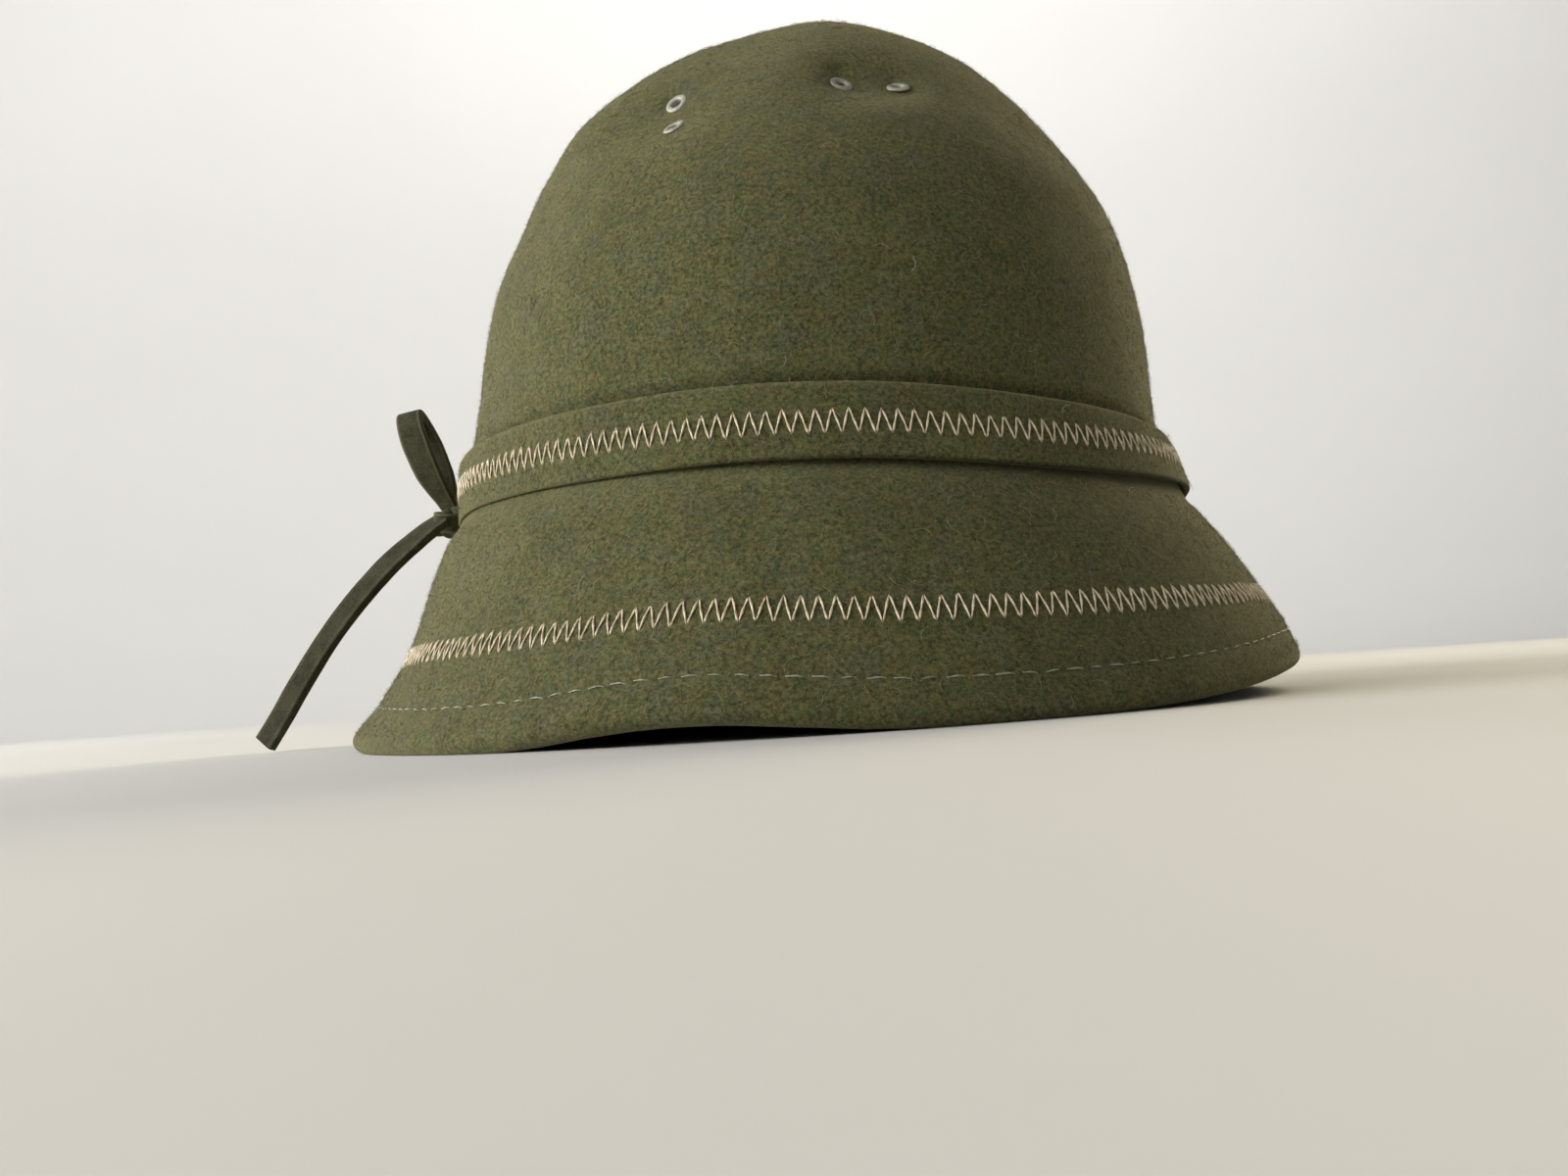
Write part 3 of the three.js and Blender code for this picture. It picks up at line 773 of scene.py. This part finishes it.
ZIGZAG_PITCH = 3.0
ZIGZAG_SINK = 0.22
ZIGZAG_BULGE = 0.42
ZIGZAG_THREAD = 0.5
ZIGZAG_UNEVEN = 0.05
LEG_CUTS = 5
LEG_ROUNDNESS = 0.45
PLY_SIDES = 8
PLY_PINCH = (1.0, 0.62, 1.0)
TWIST_PER_STEP = 1.0
BRIM_ZIGZAG_ROW = 12.1
BRIM_ZIGZAG_WIDTH = 5.5
BAND_ZIGZAG_WIDTH = 5.2
BRIM_STATIONS = 720
THREAD_LIGHT = (0.92, 0.8, 0.59, 1)
THREAD_DARK = (0.72, 0.59, 0.4, 1)
THREAD_SEED = 5


def thread_material(name, light, dark, sheen):
    material, tree, shader = new_material(name)
    tone_marks = noise_at(tree, object_place(tree), scale=900, detail=2)
    colour = blend_colours(tree, spread(tree, tone_marks, 0.35, 0.65), dark, light)
    join(tree, shader, {"Base Color": colour, "Roughness": 0.5, "Sheen Weight": sheen})
    return material


def guide_line(name, points, outward, upward, closed):
    """A line of points on the felt that carries which way is out and which way is up."""
    mesh = bpy.data.meshes.new(name)
    count = len(points)
    edges = [(i, (i + 1) % count) for i in range(count if closed else count - 1)]
    mesh.from_pydata(in_row_frame(points).tolist(), edges, [])
    for label, vectors in (("outward", outward), ("upward", upward)):
        attribute = mesh.attributes.new(label, "FLOAT_VECTOR", "POINT")
        attribute.data.foreach_set("vector", vectors.astype(np.float32).ravel())
    return new_object(name, mesh)


def spaced_along(tree, line, count):
    """A guide line as a curve with this many evenly spaced points."""
    curve = add_node(tree, "GeometryNodeMeshToCurve", {"Mesh": line})
    return add_node(tree, "GeometryNodeResampleCurve", {"Curve": curve, "Count": count})


def vector_named(tree, name):
    kind = "GeometryNodeInputNamedAttribute"
    return add_node(tree, kind, {"Name": name}, output="Attribute", data_type="FLOAT_VECTOR")


def scaled(tree, vector, factor):
    return add_node(tree, "ShaderNodeVectorMath", {0: vector, "Scale": factor}, operation="SCALE")


def moved(tree, geometry, offset):
    return add_node(tree, "GeometryNodeSetPosition", {"Geometry": geometry, "Offset": offset})


def twisted_thread(tree, curve, diameter):
    """A curve made into two-ply thread: a circle pinched to two lobes, twisted along it."""
    sockets = {"Resolution": PLY_SIDES, "Radius": times(tree, diameter, 0.5)}
    ring = add_node(tree, "GeometryNodeCurvePrimitiveCircle", sockets)
    sockets = {0: add_node(tree, "GeometryNodeInputPosition"), 1: PLY_PINCH}
    pinched = add_node(tree, "ShaderNodeVectorMath", sockets, operation="MULTIPLY")
    section = add_node(tree, "GeometryNodeSetPosition", {"Geometry": ring, "Position": pinched})
    tilt = times(tree, add_node(tree, "GeometryNodeInputIndex"), TWIST_PER_STEP)
    twisted = add_node(tree, "GeometryNodeSetCurveTilt", {"Curve": curve, "Tilt": tilt})
    sockets = {"Curve": twisted, "Profile Curve": section, "Fill Caps": True}
    return add_node(tree, "GeometryNodeCurveToMesh", sockets)


def zigzag_tree():
    tree, given, end = new_tree("zigzag_thread", {
        "Legs": "Int", "Width": "Float", "Thread": "Float", "Sink": "Float", "Bulge": "Float",
        "Material": "Material",
    })
    holes = spaced_along(tree, given["Geometry"], given["Legs"])
    index = add_node(tree, "GeometryNodeInputIndex")
    outward = vector_named(tree, "outward")
    odd = reckon(tree, "FLOORED_MODULO", index, 2.0)
    side = reckon(tree, "SUBTRACT", times(tree, odd, 2.0), 1.0)
    reach = times(tree, times(tree, given["Width"], 0.5), side)
    reach = times(tree, reach, random_number(tree, 1 - ZIGZAG_UNEVEN, 1 + ZIGZAG_UNEVEN, THREAD_SEED))
    to_hole = add_node(tree, "ShaderNodeVectorMath", {
        0: scaled(tree, vector_named(tree, "upward"), reach),
        1: scaled(tree, outward, times(tree, given["Sink"], -1.0)),
    })
    pricked = moved(tree, holes, to_hole)
    legs = add_node(tree, "GeometryNodeSubdivideCurve", {"Curve": pricked, "Cuts": LEG_CUTS})
    leg_steps = LEG_CUTS + 1.0
    share = reckon(tree, "DIVIDE", reckon(tree, "FLOORED_MODULO", index, leg_steps), leg_steps)
    arch = reckon(tree, "POWER", reckon(tree, "SINE", times(tree, share, math.pi)), LEG_ROUNDNESS)
    lifted = moved(tree, legs, scaled(tree, outward, times(tree, arch, given["Bulge"])))
    finish_tree(tree, twisted_thread(tree, lifted, given["Thread"]), given["Material"], end)
    return tree


straw_thread = thread_material("straw_thread", THREAD_LIGHT, THREAD_DARK, sheen=0.3)
zigzag_maker = zigzag_tree()


def sew_zigzag(line, length, width):
    grown(
        line, zigzag_maker, legs=2 * round(length / ZIGZAG_PITCH), width=width * MM,
        thread=ZIGZAG_THREAD * MM, sink=ZIGZAG_SINK * MM, bulge=ZIGZAG_BULGE * MM,
        material=straw_thread,
    )
    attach(line, "root")


band_drop = band_size(band_azimuths, "stitch") - band_widths / 2
band_stitched = band_skin - band_across * band_drop
band_zigzag = guide_line("band_zigzag", band_stitched, band_through, band_across, closed=False)
sew_zigzag(band_zigzag, band_length, BAND_ZIGZAG_WIDTH)

stitch_azimuths = np.linspace(-180, 180, BRIM_STATIONS, endpoint=False)


def brim_line(name, row):
    """A guide line round the brim, and its length."""
    normal, down = directions_on(outer_point, stitch_azimuths, row)
    points = felt_ring(stitch_azimuths, row, 0)
    length = step_lengths(np.vstack([points, points[:1]])).sum()
    return guide_line(name, points, normal, -down, closed=True), length


brim_zigzag, brim_zigzag_length = brim_line("brim_zigzag", BRIM_ZIGZAG_ROW)
sew_zigzag(brim_zigzag, brim_zigzag_length, BRIM_ZIGZAG_WIDTH)

# Hem stitching
# A running stitch of thin grey-green thread that holds the turned-under hem. It shows outside as short
# dashes that pull a shallow groove into the felt.

HEM_PITCH = 4.4
HEM_DASH = 3.9
HEM_THREAD = 0.36
DASH_CREST = 2.4
DASH_STEPS = 7
DASH_SWAY = 0.12
SHORTEST_DASH, LONGEST_DASH = 0.8, 1.15
HEM_THREAD_LIGHT = (0.43, 0.46, 0.35, 1)
HEM_THREAD_DARK = (0.28, 0.3, 0.22, 1)


def dash_tree():
    tree, given, end = new_tree("running_stitch", {
        "Count": "Int", "Dash": "Float", "Thread": "Float", "Material": "Material",
    })
    half = times(tree, given["Dash"], 0.5)
    sunk = times(tree, given["Thread"], -1.0)
    crest = times(tree, given["Thread"], DASH_CREST)
    arc = add_node(tree, "GeometryNodeCurveQuadraticBezier", {
        "Resolution": DASH_STEPS,
        "Start": add_node(tree, "ShaderNodeCombineXYZ", {"X": times(tree, half, -1.0), "Z": sunk}),
        "Middle": add_node(tree, "ShaderNodeCombineXYZ", {"Z": crest}),
        "End": add_node(tree, "ShaderNodeCombineXYZ", {"X": half, "Z": sunk}),
    })
    lie = add_node(tree, "FunctionNodeAxesToRotation", {
        "Primary Axis": vector_named(tree, "outward"),
        "Secondary Axis": add_node(tree, "GeometryNodeInputTangent"),
    }, primary_axis="Z", secondary_axis="X")
    sway = add_node(tree, "FunctionNodeAxisAngleToRotation", {
        "Axis": (0, 0, 1), "Angle": random_number(tree, -DASH_SWAY, DASH_SWAY, THREAD_SEED + 1),
    })
    dashes = add_node(tree, "GeometryNodeInstanceOnPoints", {
        "Points": spaced_along(tree, given["Geometry"], given["Count"]),
        "Instance": twisted_thread(tree, arc, given["Thread"]),
        "Rotation": turned_by(tree, lie, sway),
        "Scale": random_number(tree, SHORTEST_DASH, LONGEST_DASH, THREAD_SEED + 2),
    })
    finish_tree(tree, dashes, given["Material"], end)
    return tree


grey_thread = thread_material("grey_green_thread", HEM_THREAD_LIGHT, HEM_THREAD_DARK, sheen=0.2)
hem_stitches, hem_length = brim_line("hem_stitches", hem_stitch_row(stitch_azimuths))
grown(
    hem_stitches, dash_tree(), count=round(hem_length / HEM_PITCH), dash=HEM_DASH * MM,
    thread=HEM_THREAD * MM, material=grey_thread,
)
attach(hem_stitches, "root")

# Eyelets
# Small pressed-metal rings that let the crown breathe, painted off-white. A rolled flange shows
# outside, a barrel goes through the felt and its end is clinched flat inside.

EYELET_HOLE = 2.45
EYELET_BARREL = 3.2
EYELET_FLANGE = 5.2
EYELET_SEAT = -0.05
EYELET_SIDES = 48
ROLL, ROLL_FULLNESS, ROLL_STEPS = 0.5, 0.8, 13
CLINCH, CLINCH_ROUND = 4.8, 0.15
CLINCH_BELLY, CLINCH_SHOULDER, CLINCH_EDGE, CLINCH_BACK = 0.5, 0.35, 0.1, 0.05
EYELET_PAINT = (0.47, 0.465, 0.385, 1)
EYELET_BARE = (0.38, 0.37, 0.31, 1)


def eyelet_material():
    """Off-white paint, rubbed thin over the metal in spots."""
    material, tree, shader = new_material("off_white_metal")
    place = object_place(tree)
    rubbed = spread(tree, noise_at(tree, place, scale=1400, detail=3), 0.5, 0.62)
    dents = noise_at(tree, place, scale=700, detail=2)
    join(tree, shader, {
        "Base Color": blend_colours(tree, rubbed, EYELET_PAINT, EYELET_BARE),
        "Roughness": spread(tree, rubbed, 0.0, 1.0, 0.5, 0.4),
        "Metallic": spread(tree, rubbed, 0.0, 1.0, 0.06, 0.35),
        "Normal": bumped(tree, dents, strength=0.2, depth=0.3),
    })
    return material


def eyelet_profile():
    """Radius and height round the ring's section: over the flange, down the hole, up the barrel."""
    hole, barrel, flange, clinch = EYELET_HOLE / 2, EYELET_BARREL / 2, EYELET_FLANGE / 2, CLINCH / 2
    roll_middle, half_roll = (hole + flange) / 2, (flange - hole) / 2
    rolled = [
        (roll_middle + half_roll * math.cos(a), EYELET_SEAT + ROLL * math.sin(a) ** ROLL_FULLNESS)
        for a in np.radians(np.linspace(0, 180, ROLL_STEPS))
    ]
    clinched = [
        (hole, 0), (hole + CLINCH_ROUND, CLINCH_SHOULDER), ((hole + clinch) / 2, CLINCH_BELLY),
        (clinch - CLINCH_ROUND, CLINCH_SHOULDER), (clinch, CLINCH_EDGE), (barrel, CLINCH_BACK),
    ]
    return rolled + [(radius, -FELT - drop) for radius, drop in clinched] + [(barrel, EYELET_SEAT)]


def turned_rings(profile, sides):
    """Rings of points made by turning a profile of radius and height about the upright axis."""
    turns = np.linspace(0, 2 * math.pi, sides, endpoint=False)
    return np.array([(r * math.cos(t), r * math.sin(t), h) for r, h in profile for t in turns])


white_metal = eyelet_material()
ring_profile = eyelet_profile()
ring_points = turned_rings(ring_profile, EYELET_SIDES) * MM
ring_faces = [
    [corner % len(ring_points) for corner in face]
    for face in skin_faces(len(ring_profile) + 1, EYELET_SIDES)
]
for eyelet in EYELETS:
    ring_mesh = smooth_mesh(eyelet.node, ring_points, ring_faces, white_metal)
    ring = new_object("ring_" + eyelet.node, ring_mesh)
    ring.data.transform(eyelet_place(eyelet))
    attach(ring, "root")
    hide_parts(eyelet.node)

# Half bow
# A narrow strip of smooth felt tied at the band's seam, coloured darker than the hat as painted shade:
# a knot, one loop standing up and one free end arching down past the brim. The strip is cut, not
# folded; its cut corners get a painted highlight, and the free end gets more painted shade.

STRIP_WIDTH = 6.6
STRIP_FELT = 2.4
STRIP_CORNER, STRIP_CORNER_STEPS = 0.4, 4
STRIP_STATIONS = 101
KNOT_OUT, KNOT_UP, KNOT_ALONG = 8, 9, 11
LOOP_LENGTH = 24.6
LOOP_BULGE = 3.6
LOOP_LEAN, LOOP_TURN = math.radians(21), math.radians(-7)
CUT_EDGE_FROM = 0.76
TAIL_PAINTED_SHADE = 0.45
# Both strip colours are darker than the hat's felt: painted shade
BOW_DARK = (0.036, 0.034, 0.017, 1)
BOW_OLIVE = (0.066, 0.064, 0.034, 1)
BOW_PALE_NAP_AND_HIGHLIGHT = (0.22, 0.205, 0.13, 1)
BOW_SHEEN = (0.5, 0.47, 0.32, 1)

# The loop from inside the knot, up its far strand and down its near one: shares of its length and its
# bulge, how far it bows outwards in millimetres, the share of the strip's width that shows, its tilt
LoopPoint = namedtuple("LoopPoint", "length bulge bow width tilt")
LOOP_PATH = (
    LoopPoint(-0.22, 0.1, 0, 0.5, 0),
    LoopPoint(0, 0.32, 0, 0.62, 0),
    LoopPoint(0.3, 0.8, 0, 0.95, 0),
    LoopPoint(0.65, 1, 0.1, 1.05, 4),
    LoopPoint(0.9, 0.72, 0.2, 1, 10),
    LoopPoint(1, 0, 0.1, 0.98, 13),
    LoopPoint(0.9, -0.72, 0.2, 1, 10),
    LoopPoint(0.65, -1, 0.7, 1.05, 4),
    LoopPoint(0.3, -0.8, 1.1, 0.95, 0),
    LoopPoint(0, -0.32, 0.6, 0.62, 0),
    LoopPoint(-0.22, -0.1, 0, 0.5, 0),
)

# The free end from inside the knot to its cut tip: how far out, up and to the front, and its twist
TailPoint = namedtuple("TailPoint", "out up front twist")
TAIL_PATH = (
    TailPoint(-0.5, 1.2, 2.6, -36),
    TailPoint(4.8, -1.8, 2.6, -44),
    TailPoint(8.7, -4.4, 2.2, -50),
    TailPoint(12.9, -7.3, 1.6, -54),
    TailPoint(18.4, -11.8, 1, -58),
    TailPoint(26.3, -19.6, 0.3, -60),
    TailPoint(34.3, -29.2, 0, -61),
    TailPoint(41.3, -39.4, 0, -62),
    TailPoint(46.8, -48, 0, -62),
    TailPoint(50.8, -53.8, 0, -62),
)


def bow_material():
    """Smooth pressed felt with a short nap, painted darker as shade, and painted highlights on cut
    edges.
    """
    material, tree, shader = new_material("dark_felt_strip")
    place = object_place(tree)
    nap = noise_at(tree, place, scale=1700, detail=4, roughness=0.65)
    blotches = noise_at(tree, place, scale=260, detail=3)
    tone_marks = marked(tree, "tone_marks")
    colour = blend_colours(tree, spread(tree, blotches, 0.35, 0.65), BOW_DARK, BOW_OLIVE)
    colour = blend_colours(tree, spread(tree, nap, 0.45, 0.75, 0.0, 0.3), colour, BOW_PALE_NAP_AND_HIGHLIGHT)
    # Painted highlight on marked cut corners, and painted shade where the mark is below zero
    colour = blend_colours(tree, spread(tree, tone_marks, 0.74, 0.95, 0.0, 0.8), colour, BOW_PALE_NAP_AND_HIGHLIGHT)
    colour = shaded(tree, colour, spread(tree, tone_marks, -1.0, 0.0, 0.3, 1.0))
    join(tree, shader, {
        "Base Color": colour, "Roughness": 0.9, "Specular IOR Level": 0.2,
        "Sheen Weight": 0.12, "Sheen Roughness": 0.4, "Sheen Tint": BOW_SHEEN,
        "Normal": bumped(tree, nap, strength=0.3, depth=0.4),
    })
    return material


def curve_through(points):
    """Evenly shared points on a smooth curve through a few, with the curve's directions."""
    points = np.array(points)
    steered = np.vstack([2 * points[0] - points[1], points, 2 * points[-1] - points[-2]])
    curve = smooth_curve(steered, np.linspace(0, len(points) - 1, STRIP_STATIONS))
    return curve, unit(np.gradient(curve, axis=0))


def path_size(path, size):
    """One of a path's sizes at each station of its strip."""
    stations = np.linspace(0, len(path) - 1, STRIP_STATIONS)
    return np.interp(stations, range(len(path)), [getattr(point, size) for point in path])


def square_to(tangents, direction):
    """A direction turned square to each of a strip's tangents."""
    return unit(direction - tangents * (tangents @ direction)[:, None])


bow_felt = bow_material()
strip_outline = rounded_section(STRIP_WIDTH, STRIP_FELT, STRIP_CORNER, STRIP_CORNER_STEPS)
bow_out = unit(directions_on(outer_point, BAND_SEAM, BAND_TOP_ROW)[0] * (1, 1, 0))
bow_along = np.cross(bow_out, UP)
knot_middle = (middle_of(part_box("bow_knot")) - hat_shift) / MM

loop_axis = UP * math.cos(LOOP_LEAN) + bow_out * math.sin(LOOP_LEAN)
loop_aside = turned_about(bow_along, loop_axis, LOOP_TURN)
loop_root = knot_middle + UP * (KNOT_UP / 2 + BAND_GAP + STRIP_WIDTH / 2 * math.sin(LOOP_LEAN))
loop_middle, loop_tangent = curve_through([
    loop_root + loop_axis * point.length * LOOP_LENGTH + loop_aside * point.bulge * LOOP_BULGE
    + bow_out * point.bow
    for point in LOOP_PATH
])
loop_tilt = np.radians(path_size(LOOP_PATH, "tilt"))
loop_across = turned_about(np.cross(loop_axis, loop_aside), loop_aside, loop_tilt[:, None])
loop_through = unit(np.cross(loop_tangent, loop_across))
loop_widths = STRIP_WIDTH * path_size(LOOP_PATH, "width")
loop_points, loop_faces, loop_corner = swept_strip(
    loop_middle, loop_across, loop_through, strip_outline, loop_widths,
)
bow_loop = felt_piece("felt_bow_loop", loop_points, loop_faces, bow_felt)
# Painted highlight on the loop's cut corners
set_painted_light(bow_loop, loop_corner)

tail_middle, tail_tangent = curve_through([
    knot_middle + bow_out * point.out + UP * point.up - bow_along * point.front for point in TAIL_PATH
])
tail_twist = np.radians(path_size(TAIL_PATH, "twist"))
tail_across = turned_about(square_to(tail_tangent, bow_along), tail_tangent, tail_twist[:, None])
tail_through = np.cross(tail_tangent, tail_across)
tail_widths = np.full(STRIP_STATIONS, STRIP_WIDTH)
tail_points, tail_faces, tail_corner = swept_strip(
    tail_middle, tail_across, tail_through, strip_outline, tail_widths,
)
bow_tail = felt_piece("felt_bow_tail", tail_points, tail_faces, bow_felt)
# Painted highlight on the tail's cut corners, held low, and painted shade over the rest of it
set_painted_light(bow_tail, np.where(tail_corner > CUT_EDGE_FROM, CUT_EDGE_FROM, -TAIL_PAINTED_SHADE))

# The knot: the strip's other end wound once and a bit round the foot of the loop, over a packed core
WRAP_START, WRAP_END = math.radians(-215), math.radians(215)
WRAP_START_SIZE, WRAP_END_SIZE = 0.78, 1.0
WRAP_STATIONS = 121
WRAP_SLANT = 0.9
WRAP_WIDTH, WRAP_PINCH = 6.4, 0.12
WRAP_SQUARENESS = 0.75
CORE_RINGS, CORE_SIDES = 16, 32
CORE_SIZE = (2.9, 4.4, 4.0)


def squared_off(wave):
    return np.sign(wave) * np.abs(wave) ** WRAP_SQUARENESS


wrap_turns = np.linspace(WRAP_START, WRAP_END, WRAP_STATIONS)
wrap_sizes = np.linspace(WRAP_START_SIZE, WRAP_END_SIZE, WRAP_STATIONS)
wrap_out = wrap_sizes * squared_off(np.cos(wrap_turns)) * (KNOT_OUT - STRIP_FELT) / 2
wrap_along = wrap_sizes * squared_off(np.sin(wrap_turns)) * (KNOT_ALONG - STRIP_FELT) / 2
wrap_up = WRAP_SLANT * np.sin(wrap_turns / 2)
bow_axes = np.array((bow_out, bow_along, UP))
wrap_middle = knot_middle + np.stack([wrap_out, wrap_along, wrap_up], axis=-1) @ bow_axes
wrap_tangent = unit(np.gradient(wrap_middle, axis=0))
wrap_across = square_to(wrap_tangent, UP)
wrap_through = np.cross(wrap_tangent, wrap_across)
wrap_widths = WRAP_WIDTH * (1 - WRAP_PINCH + WRAP_PINCH * np.cos(2 * wrap_turns))
wrap_points, wrap_faces, wrap_corner = swept_strip(
    wrap_middle, wrap_across, wrap_through, strip_outline, wrap_widths,
)
core_angles = np.linspace(0, math.pi, CORE_RINGS + 2)[1:-1]
core_rings = turned_rings([(math.sin(angle), math.cos(angle)) for angle in core_angles], CORE_SIDES)
core_points = knot_middle + (np.vstack([core_rings, UP, -UP]) * CORE_SIZE) @ bow_axes
core_faces = [face[::-1] for face in closed_faces(CORE_RINGS, CORE_SIDES)]
knot_points = np.vstack([wrap_points, core_points])
knot_faces = wrap_faces + [[corner + len(wrap_points) for corner in face] for face in core_faces]
bow_knot = felt_piece("felt_bow_knot", knot_points, knot_faces, bow_felt)
# Painted highlight on the wrap's cut corners; the core gets none
set_painted_light(bow_knot, np.concatenate([wrap_corner, np.zeros(len(core_points))]))

for piece, node in ((bow_loop, "bow_loop"), (bow_tail, "bow_tail"), (bow_knot, "bow_knot")):
    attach(piece, "root")
    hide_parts(node)

# Studio
# A plain pale floor that sweeps up into a round backdrop. Soft light falls from the left and the front
# left, weak lights behind catch both edges, the right one warm, and two lamps wash the backdrop. The
# camera stands low in front of the hat. Sizes here are in metres, but for the camera's place.

FLOOR_PALE = (0.66, 0.655, 0.64, 1)
FLOOR_CLOUD = (0.61, 0.605, 0.59, 1)
FLOOR_SIDES = 96
FLOOR_RINGS = (0.4, 0.8, 1.2)
FLOOR_RADIUS = 1.6
SWEEP_RADIUS, SWEEP_STEPS = 1.1, 25
BACKDROP_TOP = 2.6


def floor_material():
    material, tree, shader = new_material("pale_paper")
    cloud = spread(tree, noise_at(tree, object_place(tree), scale=3, detail=2), 0.3, 0.7, 0.0, 0.25)
    colour = blend_colours(tree, cloud, FLOOR_PALE, FLOOR_CLOUD)
    join(tree, shader, {"Base Color": colour, "Roughness": 0.9})
    return material


sweep_angles = np.radians(np.linspace(0, 90, SWEEP_STEPS))
sweep = [(radius, 0.0) for radius in FLOOR_RINGS]
sweep += [
    (FLOOR_RADIUS + SWEEP_RADIUS * math.sin(a), SWEEP_RADIUS * (1 - math.cos(a))) for a in sweep_angles
]
sweep.append((FLOOR_RADIUS + SWEEP_RADIUS, BACKDROP_TOP))
floor_faces = skin_faces(len(sweep), FLOOR_SIDES) + [list(range(FLOOR_SIDES))]
floor_mesh = smooth_mesh("floor", turned_rings(sweep, FLOOR_SIDES), floor_faces, floor_material())
floor = new_object("floor", floor_mesh)

Lamp = namedtuple("Lamp", "name place aim size spread power colour")
HAT_MIDDLE = (0, 0, 0.08)
LAMPS = (
    Lamp("window_light", (-1.5, -0.25, 0.62), HAT_MIDDLE, 0.8, 110, 7, (1.0, 0.985, 0.96)),
    Lamp("front_light", (-1.3, -0.9, 0.75), HAT_MIDDLE, 0.8, 110, 4.1, (1.0, 0.985, 0.96)),
    Lamp("right_rim_light", (1.15, 1.25, 0.82), HAT_MIDDLE, 0.8, 60, 3, (1.0, 0.88, 0.6)),
    Lamp("left_rim_light", (-1.25, 1.2, 0.6), HAT_MIDDLE, 0.7, 60, 1, (1.0, 0.96, 0.88)),
    Lamp("back_wall_light", (0, 1.1, 2.1), (0, 2.6, 1.5), 1.6, 180, 46, (1.0, 0.99, 0.97)),
    Lamp("left_wall_light", (-1.1, 0, 2.1), (-2.6, 0, 1.5), 1.6, 180, 44, (1.0, 0.99, 0.97)),
)
for lamp in LAMPS:
    light = bpy.data.lights.new(lamp.name, "AREA")
    light.size, light.energy, light.color = lamp.size, lamp.power, lamp.colour
    light.spread = math.radians(lamp.spread)
    holder = new_object(lamp.name, light)
    holder.location = lamp.place
    holder.rotation_euler = (Vector(lamp.aim) - Vector(lamp.place)).to_track_quat("-Z", "Y").to_euler()

ROOM_COLOUR = (1.0, 0.99, 0.97, 1)
ROOM_STRENGTH = 0.08
world = bpy.data.worlds.new("pale_room")
world.use_nodes = True
room = world.node_tree.nodes["Background"]
join(world.node_tree, room, {"Color": ROOM_COLOUR, "Strength": ROOM_STRENGTH})
bpy.context.scene.world = world
bpy.context.scene.view_settings.view_transform = "Standard"

CAMERA_PLACE = np.array((0, -327, 9.03))
CAMERA_PITCH, CAMERA_YAW, CAMERA_ROLL = (math.radians(a) for a in (4.22, -1.34, -3.92))
CAMERA_LENS = 29.25
CAMERA_CLIP = 0.002
SENSOR_WIDTH = 36

forward = np.array((
    math.sin(CAMERA_YAW) * math.cos(CAMERA_PITCH), math.cos(CAMERA_YAW) * math.cos(CAMERA_PITCH),
    math.sin(CAMERA_PITCH),
))
level_right = np.array((math.cos(CAMERA_YAW), -math.sin(CAMERA_YAW), 0))
level_up = np.cross(level_right, forward)
camera_right = math.cos(CAMERA_ROLL) * level_right + math.sin(CAMERA_ROLL) * level_up
camera_up = math.cos(CAMERA_ROLL) * level_up - math.sin(CAMERA_ROLL) * level_right
camera_data = bpy.data.cameras.new("camera")
camera_data.lens, camera_data.sensor_width = CAMERA_LENS, SENSOR_WIDTH
camera_data.clip_start = CAMERA_CLIP
camera = new_object("camera", camera_data)
turn = Matrix(np.column_stack([camera_right, camera_up, -forward]).tolist()).to_4x4()
camera.matrix_world = Matrix.Translation(Vector(in_row_frame(CAMERA_PLACE))) @ turn
bpy.context.scene.camera = camera
